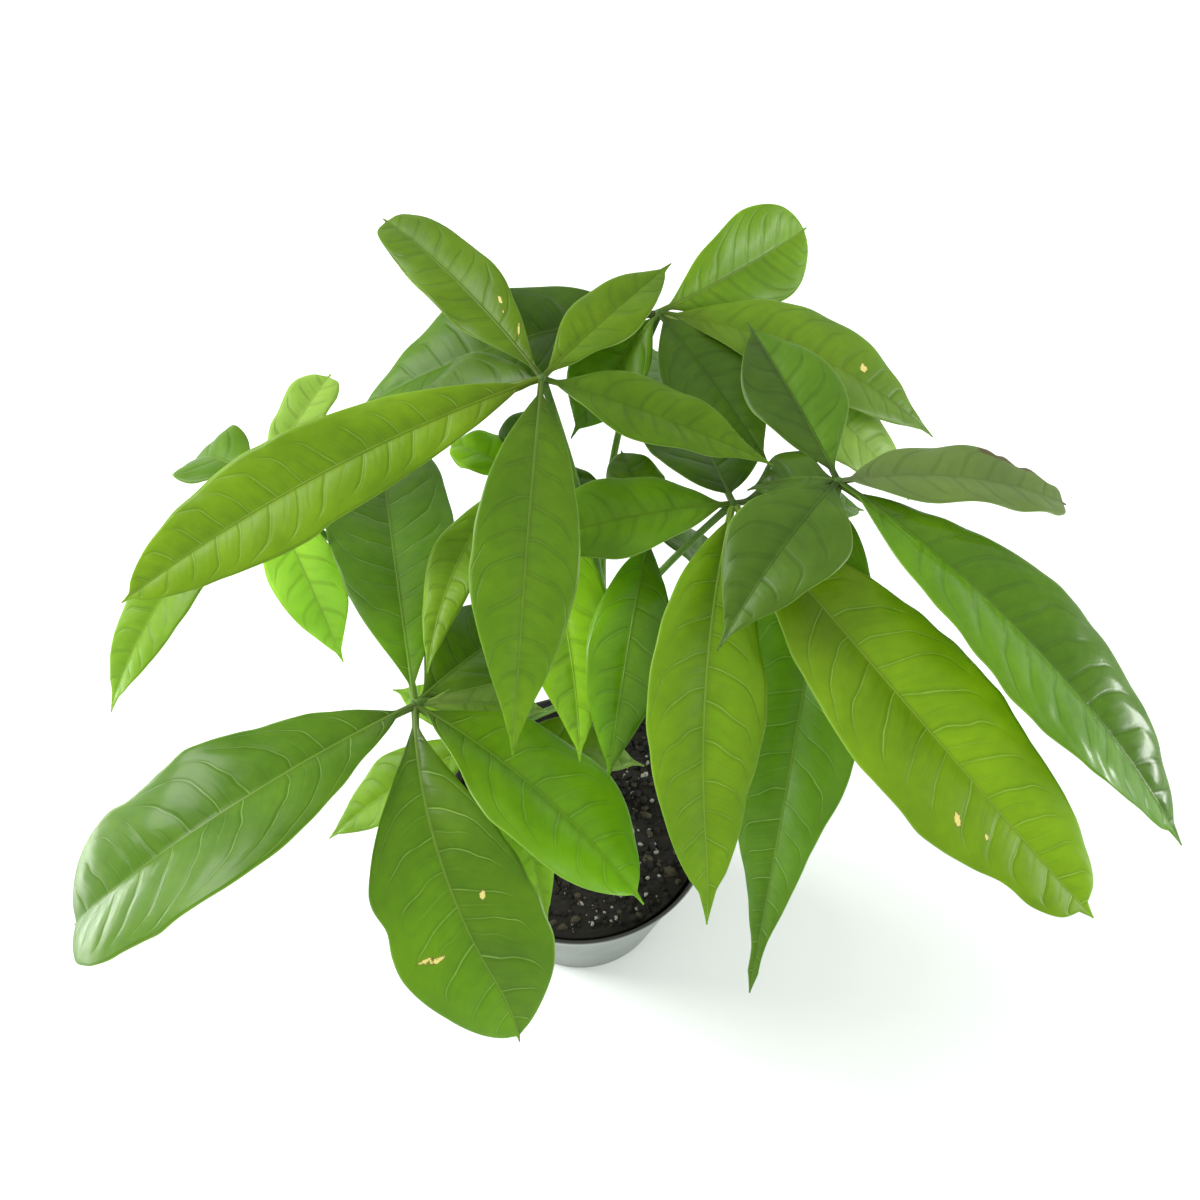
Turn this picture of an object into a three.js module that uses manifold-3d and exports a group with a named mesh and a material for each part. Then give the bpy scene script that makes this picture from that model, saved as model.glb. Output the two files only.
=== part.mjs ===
// A young money tree in a round nursery pot: pot, soil, trunk and nine compound leaves.
// Millimetres, +Z up. The origin is the centre of the pot's underside, +X is to the right and
// -Y is the side that the broadest leaves hang over.
import * as THREE from 'three';
import { mergeVertices } from 'three/addons/utils/BufferGeometryUtils.js';
import Module from 'manifold-3d';

const wasm = await Module();
wasm.setup();

// Driving dimensions

const POT = {
  height: 90,
  rimRadius: 58,
  baseRadius: 38.5,
  bandHeight: 11,
  bandStep: 1.2,
  wall: 1.4,
  floor: 2,
  holeCount: 6,
  holeRadius: 4,
  holeCircle: 24,
};
const SOIL = { crown: 86.5, edge: 84, roughness: 1.1, rings: 7, seed: 11 };
const ROUND_SEGMENTS = 40;
const TRUNK = {
  foot: [0, 0, 46],
  bend: [4, 14, 135],
  top: [14, 42, 202],
  footRadius: 8.5,
  topRadius: 4.2,
  budLength: 7,
  sides: 10,
  steps: 14,
};
const PETIOLE = { baseRadius: 2.2, hubRadius: 1.5, sides: 6, steps: 6 };
const HUB = { radius: 3.1, flatten: 0.8 };
const BLADE = {
  thickness: 0.7,
  rib: 0.9,
  stalkShare: 0.05,
  stalkHalf: 1.1,
  tipHalf: 0.35,
  ribLift: 0.4,
  edgeDrop: 0.27,
  wave: 1.2,
  waveCount: 2.5,
};
const CLEARANCE = 0.3;

// Every leaf: where its hub is, how high on the trunk its petiole starts, how far the petiole
// bows aside, and its leaflets. A leaflet is one arc from the hub to its tip. turn is how far it
// bends down over its length, lean tips the arc to its right, roll turns the blade about its
// midrib (all in degrees), widest is where along the blade it is broadest, and base and apex
// are how quickly it narrows to each end (under 1 blunt, over 1 drawn out).

const PLAIN = { turn: 40, lean: 0, roll: 0, widest: 0.5, base: 1.2, apex: 0.9 };

const LEAVES = [
  {
    name: 'leaf_top', hub: [-11, 74, 290], height: 190, bow: [1, 4, 0],
    leaflets: [
      { tip: [-73, 158, 283], width: 26, turn: 20, lean: 14, roll: 10, widest: 0.47, base: 1, apex: 0.3 },
      { tip: [35, 130, 288], width: 25, turn: 10, base: 1, apex: 0.8 },
      { tip: [-163, 20, 230], width: 36, turn: 22, lean: 15, roll: 32, widest: 0.58, base: 0.75, apex: 0.6 },
      { tip: [-20, -45, 238], width: 36, turn: 28, roll: 12, base: 0.8, apex: 1 },
      { tip: [69, 50, 272], width: 28, turn: 15, widest: 0.45, base: 1, apex: 1 },
      { tip: [-71, 85, 246], width: 36, turn: 20, base: 0.8 },
    ],
  },
  {
    name: 'leaf_left', hub: [-120, 75, 228], height: 176, bow: [0, -4, -22],
    leaflets: [
      { tip: [-98, 127, 230], width: 20, turn: 15, widest: 0.7, base: 0.8, apex: 0.3 },
      { tip: [-155, 100, 204], width: 32, turn: 80, widest: 0.55 },
      { tip: [-183, 10, 165], width: 30, turn: 50 },
      { tip: [-91, 24, 180], width: 27 },
    ],
  },
  {
    name: 'leaf_front', hub: [-56, -17, 222], height: 165, bow: [0, 0, 6],
    leaflets: [
      { tip: [-175, -83, 182], width: 58, turn: 80, lean: -18, roll: -11, widest: 0.56, base: 0.85, apex: 0.25 },
      { tip: [-14, -116, 166], width: 55, turn: 70, lean: 35, roll: -11, widest: 0.62, base: 1.2, apex: 0.65 },
      { tip: [24, -80, 194], width: 54, turn: 30, lean: -33, roll: 24, widest: 0.56, base: 0.9, apex: 0.7 },
      { tip: [-84, 128, 191], width: 50, turn: 14, widest: 0.65, base: 0.95, apex: 0.6 },
      { tip: [-13, 37, 194], width: 42, turn: 30 },
      { tip: [-11, -4, 192], width: 18, turn: 30, roll: -35 },
    ],
  },
  {
    name: 'leaf_back', hub: [31, 121, 272], height: 180, bow: [-8, 6, -4],
    leaflets: [
      { tip: [90, 171, 266], width: 38, turn: 15, lean: 60, roll: -45, widest: 0.62, base: 1, apex: 0.5 },
      { tip: [138, 97, 228], width: 38, turn: 50, base: 0.9 },
      { tip: [69, 62, 258], width: 36, turn: 12, base: 0.9 },
      { tip: [-2, 90, 236], width: 34, turn: 30 },
      { tip: [-85, 105, 234], width: 50, turn: 36, base: 0.9 },
      { tip: [130, 80, 210], width: 36, turn: 50, widest: 0.55, apex: 0.7 },
    ],
  },
  {
    name: 'leaf_right', hub: [92, 47, 267], height: 170, bow: [0, -6, 10],
    leaflets: [
      { tip: [63, 112, 276], width: 36, turn: 15, apex: 0.8 },
      { tip: [176, 49, 250], width: 26, turn: 48, roll: 5, widest: 0.4, base: 0.7, apex: 0.4 },
      { tip: [213, -59, 196], width: 51, turn: 46, roll: 12, base: 0.82, apex: 0.7 },
      { tip: [66, -89, 124], width: 52, turn: 7, lean: -11, roll: -27, widest: 0.32, base: 0.5, apex: 1.3 },
      { tip: [48, -15, 256], width: 40, turn: 50, widest: 0.42, base: 1, apex: 1.1 },
      { tip: [61, 48, 260], width: 22, turn: 60 },
    ],
  },
  {
    name: 'leaf_right_low', hub: [56, 44, 258], height: 184, bow: [0, 0, 4],
    leaflets: [
      { tip: [176, -87, 198], width: 54, turn: 29, lean: 27, roll: -8, widest: 0.52, base: 0.9, apex: 0.45 },
      { tip: [49, -83, 185], width: 43, turn: 50, lean: 28, roll: 15, base: 0.8, apex: 0.8 },
      { tip: [-24, 27, 253], width: 34, turn: 25, widest: 0.48, base: 1 },
      { tip: [30, 158, 211], width: 46, turn: 8, widest: 0.36, base: 0.6 },
      { tip: [111, 72, 214], width: 24, turn: 20, apex: 0.7 },
    ],
  },
  {
    name: 'leaf_middle', hub: [27, 46, 238], height: 195, bow: [0, 0, 2],
    leaflets: [
      { tip: [12, -39, 208], width: 30, turn: 45, base: 1 },
      { tip: [17, 84, 236], width: 22, apex: 0.6 },
      { tip: [60, 55, 198], width: 24, turn: 10 },
    ],
  },
  {
    name: 'leaf_inner', hub: [-21, 73, 235], height: 183, bow: [0, 0, 2],
    leaflets: [
      { tip: [-51, -10, 232], width: 20, lean: 45 },
      { tip: [-49, 92, 230], width: 20, apex: 0.6 },
      { tip: [-15, 112, 231], width: 22, turn: 30 },
      { tip: [9, 80, 222], width: 14, turn: 20, apex: 0.6 },
      { tip: [2, -35, 213], width: 34, turn: 30, lean: -40 },
    ],
  },
  {
    name: 'leaf_low', hub: [-28, -10, 185], height: 152, bow: [0, 0, 4],
    leaflets: [
      { tip: [-95, -37, 150], width: 26 },
      { tip: [-11, -66, 140], width: 20 },
      { tip: [26, -11, 160], width: 22, turn: 30 },
      { tip: [-72, 16, 172], width: 20, turn: 30 },
    ],
  },
];

const paint = (color, roughness) => new THREE.MeshStandardMaterial({ color, roughness, metalness: 0 });
const POT_PLASTIC = paint(0xb4bcbc, 0.45);
const SOIL_MIX = paint(0x1c1714, 0.95);
const BARK = paint(0x6f7a45, 0.8);
const LEAF_GREEN = paint(0x5f9a25, 0.4);

const UP = new THREE.Vector3(0, 0, 1);
const vec = (point) => new THREE.Vector3(...point);
const clamp01 = (value) => Math.min(Math.max(value, 0), 1);

// Solids in and out of the boolean library

function solidOf(geometry) {
  const bare = geometry.clone();
  bare.deleteAttribute('normal');
  bare.deleteAttribute('uv');
  const merged = mergeVertices(bare, 1e-5);
  return new wasm.Manifold(new wasm.Mesh({
    numProp: 3,
    vertProperties: new Float32Array(merged.attributes.position.array),
    triVerts: new Uint32Array(merged.index.array),
  }));
}

function geometryOf(solid) {
  const mesh = solid.getMesh();
  const geometry = new THREE.BufferGeometry();
  geometry.setAttribute('position', new THREE.BufferAttribute(mesh.vertProperties, 3));
  geometry.setIndex(new THREE.BufferAttribute(mesh.triVerts, 1));
  geometry.computeVertexNormals();
  return geometry;
}

function indexed(points, triangles) {
  const geometry = new THREE.BufferGeometry();
  geometry.setAttribute('position', new THREE.Float32BufferAttribute(points.flatMap((p) => p.toArray()), 3));
  geometry.setIndex(triangles.flat());
  return geometry;
}

// A round bar along a curve, its radius a function of the way along it, closed at both ends and
// stretched by overrun at either one.
function bar(curve, radiusAt, sides, steps, overrun = 0) {
  const centreAt = (t) => curve.getPoint(t).addScaledVector(curve.getTangent(t), overrun * (2 * t - 1));
  const points = [centreAt(0)];
  const triangles = [];
  for (let i = 0; i <= steps; i += 1) {
    const t = i / steps;
    const centre = centreAt(t);
    const along = curve.getTangent(t);
    const side = new THREE.Vector3(1, 0, 0).cross(along).normalize();
    const out = along.clone().cross(side);
    for (let k = 0; k < sides; k += 1) {
      const angle = (2 * Math.PI * k) / sides;
      points.push(centre.clone()
        .addScaledVector(side, radiusAt(t) * Math.cos(angle))
        .addScaledVector(out, radiusAt(t) * Math.sin(angle)));
    }
  }
  points.push(centreAt(1));
  const last = points.length - 1;
  const at = (i, k) => 1 + i * sides + (k % sides);
  for (let k = 0; k < sides; k += 1) {
    triangles.push([0, at(0, k + 1), at(0, k)], [last, at(steps, k), at(steps, k + 1)]);
    for (let i = 0; i < steps; i += 1) {
      triangles.push([at(i, k), at(i, k + 1), at(i + 1, k + 1)], [at(i, k), at(i + 1, k + 1), at(i + 1, k)]);
    }
  }
  return solidOf(indexed(points, triangles));
}

// A thin sheet between two grids of points, split into triangles alike on both faces.
function sheet(top, bottom) {
  const rows = top.length;
  const columns = top[0].length;
  const under = rows * columns;
  const at = (i, j) => i * columns + j;
  const triangles = [];
  const wall = (a, b) => triangles.push([a, b + under, b], [a, a + under, b + under]);
  for (let i = 0; i < rows - 1; i += 1) {
    for (let j = 0; j < columns - 1; j += 1) {
      const [a, b, c, d] = [at(i, j), at(i, j + 1), at(i + 1, j + 1), at(i + 1, j)];
      triangles.push([a, b, c], [a, c, d]);
      triangles.push([a + under, c + under, b + under], [a + under, d + under, c + under]);
    }
    wall(at(i + 1, 0), at(i, 0));
    wall(at(i, columns - 1), at(i + 1, columns - 1));
  }
  for (let j = 0; j < columns - 1; j += 1) {
    wall(at(0, j), at(0, j + 1));
    wall(at(rows - 1, j + 1), at(rows - 1, j));
  }
  return solidOf(indexed([...top.flat(), ...bottom.flat()], triangles));
}

// Pot: a tapered cup with a stepped band round its rim and drain holes in its floor.
function makePot() {
  const { height, rimRadius, baseRadius, bandHeight, bandStep, wall, floor } = POT;
  const bandFoot = height - bandHeight;
  const slope = (rimRadius - bandStep - baseRadius) / height;
  const bodyAt = (z) => baseRadius + slope * z;
  const profile = [
    [0, 0],
    [baseRadius - 1, 0],
    [bodyAt(1), 1],
    [bodyAt(bandFoot), bandFoot],
    [bodyAt(bandFoot) + bandStep, bandFoot + 0.8],
    [rimRadius, height - 0.6],
    [rimRadius - 0.5, height],
    [rimRadius - wall, height],
    [bodyAt(bandFoot) - wall + bandStep, bandFoot + 1.5],
    [bodyAt(bandFoot) - wall, bandFoot],
    [bodyAt(floor) - wall, floor],
    [0, floor],
  ].map(([r, z]) => new THREE.Vector2(r, z));
  const lathe = new THREE.LatheGeometry(profile, ROUND_SEGMENTS).rotateX(Math.PI / 2);
  let pot = solidOf(lathe);
  for (let k = 0; k < POT.holeCount; k += 1) {
    const angle = (2 * Math.PI * k) / POT.holeCount;
    const hole = new THREE.CylinderGeometry(POT.holeRadius, POT.holeRadius, 4 * floor, 16)
      .rotateX(Math.PI / 2)
      .translate(POT.holeCircle * Math.cos(angle), POT.holeCircle * Math.sin(angle), 0);
    pot = pot.subtract(solidOf(hole));
  }
  return pot;
}

// A repeatable number from 0 to 1 for a whole-number key.
function scatter(key) {
  const value = Math.sin(key * 12.9898 + SOIL.seed) * 43758.5453;
  return value - Math.floor(value);
}

const trunkCurve = new THREE.QuadraticBezierCurve3(vec(TRUNK.foot), vec(TRUNK.bend), vec(TRUNK.top));

// Trunk: swollen at its foot, tapering upwards, ending in a bud. extra widens it all over.
function makeTrunk(extra = 0) {
  const { footRadius, topRadius, budLength } = TRUNK;
  const budStart = 1 - budLength / trunkCurve.getLength();
  const radiusAt = (t) => {
    const stem = topRadius + (footRadius - topRadius) * (1 - t) ** 2;
    return (t > budStart ? stem * Math.sqrt(Math.max(1 - ((t - budStart) / (1 - budStart)) ** 2, 0.05)) : stem)
      + extra;
  };
  return bar(trunkCurve, radiusAt, TRUNK.sides, TRUNK.steps, extra);
}

// Soil: fills the pot, with a crumbled surface and a plain hole that the trunk stands in.
function makeSoil() {
  const slope = (POT.rimRadius - POT.bandStep - POT.baseRadius) / POT.height;
  const inner = (z) => POT.baseRadius + slope * z - POT.wall - CLEARANCE;
  const bottom = POT.floor + CLEARANCE;
  const brim = POT.height - POT.bandHeight;
  const profile = [[0, bottom], [inner(bottom), bottom], [inner(brim), brim], [inner(SOIL.edge), SOIL.edge]];
  for (let ring = SOIL.rings - 1; ring >= 0; ring -= 1) {
    const share = ring / SOIL.rings;
    profile.push([inner(SOIL.edge) * share, SOIL.crown - (SOIL.crown - SOIL.edge) * share ** 2]);
  }
  const lathe = new THREE.LatheGeometry(profile.map(([r, z]) => new THREE.Vector2(r, z)), ROUND_SEGMENTS)
    .rotateX(Math.PI / 2);
  const bare = mergeVertices(lathe.deleteAttribute('normal').deleteAttribute('uv'), 1e-4);
  const position = bare.attributes.position;
  for (let i = 0; i < position.count; i += 1) {
    if (position.getZ(i) > SOIL.edge + 0.01) {
      position.setZ(i, position.getZ(i) + SOIL.roughness * (2 * scatter(i) - 1));
    }
  }
  return solidOf(bare).subtract(makeTrunk(CLEARANCE));
}

// The share of its half width that a blade has at the way t along it.
function outline(t, leaflet) {
  const x = clamp01((t - BLADE.stalkShare) / (1 - BLADE.stalkShare));
  return x < leaflet.widest
    ? Math.sin((Math.PI / 2) * (x / leaflet.widest)) ** leaflet.base
    : Math.cos((Math.PI / 2) * ((x - leaflet.widest) / (1 - leaflet.widest))) ** leaflet.apex;
}

// Leaflet: a thin blade along an arc, gull-winged across, waved along its edges and thickened
// under its midrib. number sets where its waves start.
function makeLeaflet(hub, leaflet, number) {
  const chord = vec(leaflet.tip).sub(hub);
  const span = chord.length();
  const ahead = chord.clone().normalize();
  const lean = THREE.MathUtils.degToRad(leaflet.lean);
  const upright = UP.clone().addScaledVector(ahead, -UP.dot(ahead)).normalize();
  const bulge = upright.clone().applyAxisAngle(ahead, lean);
  const side = ahead.clone().cross(bulge);
  const turn = THREE.MathUtils.degToRad(leaflet.turn);
  const radius = span / (2 * Math.sin(turn / 2));
  const length = radius * turn;
  const roll = THREE.MathUtils.degToRad(leaflet.roll + leaflet.lean);
  const steps = Math.round(4 + length / 30);
  const phase = 2.4 * number;
  const top = [];
  const bottom = [];
  for (let i = 0; i <= steps; i += 1) {
    const t = i / steps;
    const angle = turn * (0.5 - t);
    const spine = hub.clone()
      .addScaledVector(ahead, radius * (Math.sin(turn / 2) - Math.sin(angle)))
      .addScaledVector(bulge, radius * (Math.cos(angle) - Math.cos(turn / 2)));
    const normal = bulge.clone().multiplyScalar(Math.cos(angle)).addScaledVector(ahead, -Math.sin(angle));
    const across = side.clone().multiplyScalar(Math.cos(roll)).addScaledVector(normal, Math.sin(roll));
    const face = normal.clone().multiplyScalar(Math.cos(roll)).addScaledVector(side, -Math.sin(roll));
    const least = THREE.MathUtils.lerp(BLADE.stalkHalf, BLADE.tipHalf, t);
    const half = Math.max((leaflet.width / 2) * outline(t, leaflet), least);
    const rib = BLADE.rib * (1 - t);
    const upper = [];
    const lower = [];
    for (const u of [-1, -0.5, 0, 0.5, 1]) {
      const wave = BLADE.wave * u * u * Math.sin(Math.PI * t)
        * Math.sin(2 * Math.PI * BLADE.waveCount * t + phase + (u > 0 ? 1.3 : 0));
      const lift = half * (BLADE.ribLift * Math.abs(u) - BLADE.edgeDrop * u * u) + wave;
      const middle = spine.clone().addScaledVector(across, half * u).addScaledVector(face, lift);
      upper.push(middle.clone().addScaledVector(face, BLADE.thickness / 2));
      lower.push(middle.clone().addScaledVector(face, -BLADE.thickness / 2 - (u === 0 ? rib : 0)));
    }
    top.push(upper);
    bottom.push(lower);
  }
  return sheet(top, bottom);
}

// The way along the trunk's curve at which it reaches a height.
function trunkShare(height) {
  let [low, high] = [0, 1];
  while (high - low > 1e-4) {
    const middle = (low + high) / 2;
    if (trunkCurve.getPoint(middle).z < height) low = middle;
    else high = middle;
  }
  return low;
}

// Compound leaf: petiole, hub and leaflets fused in one body, cut clear of the trunk.
function makeLeaf(leaf, firstNumber, trunk) {
  const hub = vec(leaf.hub);
  const start = trunkCurve.getPoint(trunkShare(leaf.height));
  const control = start.clone().lerp(hub, 0.5).addScaledVector(vec(leaf.bow), 2);
  const curve = new THREE.QuadraticBezierCurve3(start, control, hub);
  const radiusAt = (t) => THREE.MathUtils.lerp(PETIOLE.baseRadius, PETIOLE.hubRadius, Math.sqrt(t));
  const petiole = bar(curve, radiusAt, PETIOLE.sides, PETIOLE.steps).subtract(trunk);
  const knob = new THREE.OctahedronGeometry(HUB.radius, 1).scale(1, 1, HUB.flatten)
    .translate(...leaf.hub);
  const blades = leaf.leaflets.map((leaflet, k) => makeLeaflet(hub, { ...PLAIN, ...leaflet }, firstNumber + k));
  return wasm.Manifold.union([petiole, solidOf(knob), ...blades]);
}

function addNode(group, name, solid, material) {
  const mesh = new THREE.Mesh(geometryOf(solid), material);
  mesh.name = name;
  group.add(mesh);
}

const group = new THREE.Group();
group.name = 'potted_money_tree';
addNode(group, 'pot', makePot(), POT_PLASTIC);
addNode(group, 'soil', makeSoil(), SOIL_MIX);
addNode(group, 'trunk', makeTrunk(), BARK);

const wideTrunk = makeTrunk(CLEARANCE);
let leafletCount = 0;
for (const leaf of LEAVES) {
  addNode(group, leaf.name, makeLeaf(leaf, leafletCount, wideTrunk), LEAF_GREEN);
  leafletCount += leaf.leaflets.length;
}

export default group;
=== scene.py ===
"""A young money tree in a round nursery pot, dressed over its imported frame.

The frame's leaves, trunk, soil and pot are rebuilt as finer pieces on the frame's own sizes: every
leaflet is a thin blade on one arc with its midrib, side veins and quilting, the soil has its crumbs
and perlite, and the pot its rolled rim. Tables are in millimetres, meshes in metres.
"""

from __future__ import annotations

import logging
import math
from collections.abc import Sequence
from dataclasses import dataclass, field
from enum import Enum, IntEnum

import bmesh
import bpy
import numpy as np
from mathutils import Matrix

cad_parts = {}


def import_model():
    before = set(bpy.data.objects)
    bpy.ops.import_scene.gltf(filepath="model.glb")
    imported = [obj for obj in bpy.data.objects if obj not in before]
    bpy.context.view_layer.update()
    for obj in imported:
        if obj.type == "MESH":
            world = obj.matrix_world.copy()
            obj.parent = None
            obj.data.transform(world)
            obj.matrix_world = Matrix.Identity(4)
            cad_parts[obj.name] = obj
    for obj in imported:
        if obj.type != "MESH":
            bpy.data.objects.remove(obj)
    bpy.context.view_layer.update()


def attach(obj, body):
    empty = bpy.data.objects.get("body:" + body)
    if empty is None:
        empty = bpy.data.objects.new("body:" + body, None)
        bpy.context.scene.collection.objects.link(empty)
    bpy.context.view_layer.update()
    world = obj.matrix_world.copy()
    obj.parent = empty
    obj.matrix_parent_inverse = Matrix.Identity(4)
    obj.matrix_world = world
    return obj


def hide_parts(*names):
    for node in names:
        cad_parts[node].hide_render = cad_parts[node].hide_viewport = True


LOG = logging.getLogger("money_tree")

Colour = tuple[float, float, float]
Triple = tuple[float, float, float]

MM = 0.001
UP = np.array([0.0, 0.0, 1.0])
RIGHT = np.array([1.0, 0.0, 0.0])
DISPLAY_GAMMA = 2.2
LATTICE_SIZE = 64


class Seed(IntEnum):
    """The random draw that each kind of unevenness comes from."""

    MARGIN = 17
    MARGIN_FINE = 18
    RIPPLE = 5
    QUILT = 9
    VEIN_WANDER = 31
    VEIN_WIGGLE = 77
    KNOB = 13
    BARK = 3
    BARK_FINE = 8
    SOIL_HILLS = 41
    SOIL_CLODS = 42
    SOIL_GRAIN = 43
    CRUMBS = 23


def tint(red: int, green: int, blue: int) -> Colour:
    """A display colour of 0 to 255 a channel as linear light.

    Args:
        red: Red as seen on a screen.
        green: Green as seen on a screen.
        blue: Blue as seen on a screen.

    Returns:
        The three linear values.
    """
    shares = (channel / 255 for channel in (red, green, blue))
    low, mid, high = (s / 12.92 if s <= 0.04045 else ((s + 0.055) / 1.055) ** 2.4 for s in shares)
    return low, mid, high


def smooth(low: float, high: float, value: np.ndarray) -> np.ndarray:
    """Eases from 0 to 1: 3x squared minus 2x cubed, where x is the share of the way from low to high.

    Args:
        low: Where it is 0.
        high: Where it reaches 1; it may be below low.
        value: The values to ease.

    Returns:
        One share from 0 to 1 for each value.
    """
    share = np.clip((value - low) / (high - low), 0.0, 1.0)
    return share * share * (3.0 - 2.0 * share)


def unit(vectors: np.ndarray) -> np.ndarray:
    """The same vectors at length 1."""
    return vectors / np.linalg.norm(vectors, axis=-1, keepdims=True)


def soft_noise(x: np.ndarray, y: np.ndarray, seed: int) -> np.ndarray:
    """Smooth random hills from -1 to 1, one lattice cell to a unit of x and y.

    Random heights stand at the whole numbers of a repeating lattice, and each point blends the
    four round it by the eased shares of its way between them.

    Args:
        x: First coordinate of each point, in cells.
        y: Second coordinate of each point, in cells.
        seed: Sets the lattice.

    Returns:
        One height for each point.
    """
    lattice = np.random.default_rng(seed).uniform(-1.0, 1.0, (LATTICE_SIZE, LATTICE_SIZE))
    column, row = np.floor(x).astype(int), np.floor(y).astype(int)
    across, along = x - column, y - row
    across, along = across * across * (3 - 2 * across), along * along * (3 - 2 * along)
    left, right = column % LATTICE_SIZE, (column + 1) % LATTICE_SIZE
    near, far = row % LATTICE_SIZE, (row + 1) % LATTICE_SIZE
    front = lattice[left, near] * (1 - across) + lattice[right, near] * across
    back = lattice[left, far] * (1 - across) + lattice[right, far] * across
    return front * (1 - along) + back * along


class MeshDraft:
    """Gathers the vertices, faces and per-vertex values of one piece, part by part."""

    def __init__(self) -> None:
        """Starts with nothing in it."""
        self.points: list[np.ndarray] = []
        self.faces: list[np.ndarray] = []
        self.slots: list[np.ndarray] = []
        self.values: list[dict[str, np.ndarray]] = []
        self.count = 0

    def add(self, points: np.ndarray, faces: np.ndarray, slot: int = 0, **values: np.ndarray | float) -> None:
        """Adds one closed part, turned so that its faces point outwards.

        Args:
            points: Its vertices, in metres.
            faces: Its triangles or its quads, as vertex numbers.
            slot: Its material slot.
            **values: Named values of its vertices, one for all or one for each.
        """
        points = points.reshape(-1, 3)
        corners = points[faces]
        volume = sum(
            np.einsum("ij,ij->", corners[:, 0], np.cross(corners[:, k], corners[:, k + 1]))
            for k in range(1, faces.shape[1] - 1)
        )
        faces = faces if volume > 0 else faces[:, ::-1]
        self.points.append(points)
        self.faces.append(faces + self.count)
        self.slots.append(np.full(len(faces), slot))
        self.values.append({k: np.broadcast_to(np.ravel(v), len(points)) for k, v in values.items()})
        self.count += len(points)

    def build(self, name: str, materials: Sequence[bpy.types.Material]) -> bpy.types.Object:
        """Makes the object, smooth shaded, with one attribute for each named value.

        Args:
            name: The piece's name.
            materials: Its material slots, in order.

        Returns:
            The object, linked to the scene.
        """
        mesh = bpy.data.meshes.new(name)
        points = np.concatenate(self.points)
        mesh.vertices.add(len(points))
        mesh.vertices.foreach_set("co", points.astype(np.float32).ravel())
        corners = np.concatenate([faces.ravel() for faces in self.faces])
        sizes = np.concatenate([np.full(len(faces), faces.shape[1]) for faces in self.faces])
        mesh.loops.add(len(corners))
        mesh.loops.foreach_set("vertex_index", corners.astype(np.int32))
        mesh.polygons.add(len(sizes))
        mesh.polygons.foreach_set("loop_start", np.concatenate([[0], np.cumsum(sizes)[:-1]]).astype(np.int32))
        mesh.polygons.foreach_set("material_index", np.concatenate(self.slots).astype(np.int32))
        mesh.polygons.foreach_set("use_smooth", np.ones(len(sizes), dtype=bool))
        for key in sorted({key for part in self.values for key in part}):
            parts = zip(self.values, self.points, strict=True)
            column = np.concatenate([part.get(key, np.zeros(len(own))) for part, own in parts])
            attribute = mesh.attributes.new(key, "FLOAT", "POINT")
            attribute.data.foreach_set("value", column.astype(np.float32))
        for material in materials:
            mesh.materials.append(material)
        mesh.update(calc_edges=True)
        mesh.validate()
        piece = bpy.data.objects.new(name, mesh)
        bpy.context.scene.collection.objects.link(piece)
        return piece


def skin_faces(rings: int, sides: int) -> np.ndarray:
    """Quads over a stack of rings, with both ends closed by a ladder of quads.

    Args:
        rings: How many rings there are.
        sides: How many points each ring has, an even number.

    Returns:
        The quads as vertex numbers, ring by ring.
    """
    ring, side = np.arange(rings - 1)[:, None] * sides, np.arange(sides)[None, :]
    ahead = (side + 1) % sides
    wall = np.stack([ring + side, ring + ahead, ring + sides + ahead, ring + sides + side], axis=-1)
    rung = np.arange(sides // 2 - 1)
    start = np.stack([rung, sides - 1 - rung, sides - 2 - rung, rung + 1], axis=-1)
    end = start[:, ::-1] + (rings - 1) * sides
    return np.concatenate([wall.reshape(-1, 4), start, end])


def bezier(
    start: np.ndarray, control: np.ndarray, end: np.ndarray, way: np.ndarray
) -> tuple[np.ndarray, np.ndarray]:
    """The curve (1-t) squared times start, plus 2t(1-t) times control, plus t squared times end.

    Args:
        start: Its first point.
        control: The point that it bends towards.
        end: Its last point.
        way: The values of t, from 0 to 1.

    Returns:
        Its points and its directions there.
    """
    t = way[:, None]
    points = (1 - t) ** 2 * start + 2 * t * (1 - t) * control + t**2 * end
    return points, unit((1 - t) * (control - start) + t * (end - control))


def tube_rings(path: np.ndarray, along: np.ndarray, radius: np.ndarray, sides: int) -> np.ndarray:
    """Round rings square to a path: centre plus radius times cosine and sine of the turn.

    Args:
        path: The rings' centres.
        along: The path's directions there.
        radius: One radius for each ring, or one for each of its points.
        sides: Points to a ring.

    Returns:
        Rings by sides by 3.
    """
    side = unit(np.cross(RIGHT, along))
    out = np.cross(along, side)
    turn = np.linspace(0.0, 2 * math.pi, sides, endpoint=False)
    radius = np.broadcast_to(radius if radius.ndim == 2 else radius[:, None], (len(path), sides))[..., None]
    cosine, sine = np.cos(turn)[None, :, None], np.sin(turn)[None, :, None]
    return path[:, None] + radius * (cosine * side[:, None] + sine * out[:, None])


@dataclass(frozen=True)
class Grain:
    """How uneven a finish is: the scales of its broad and fine noise, and how far they swing."""

    broad: float
    fine: float
    strength: float


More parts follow.
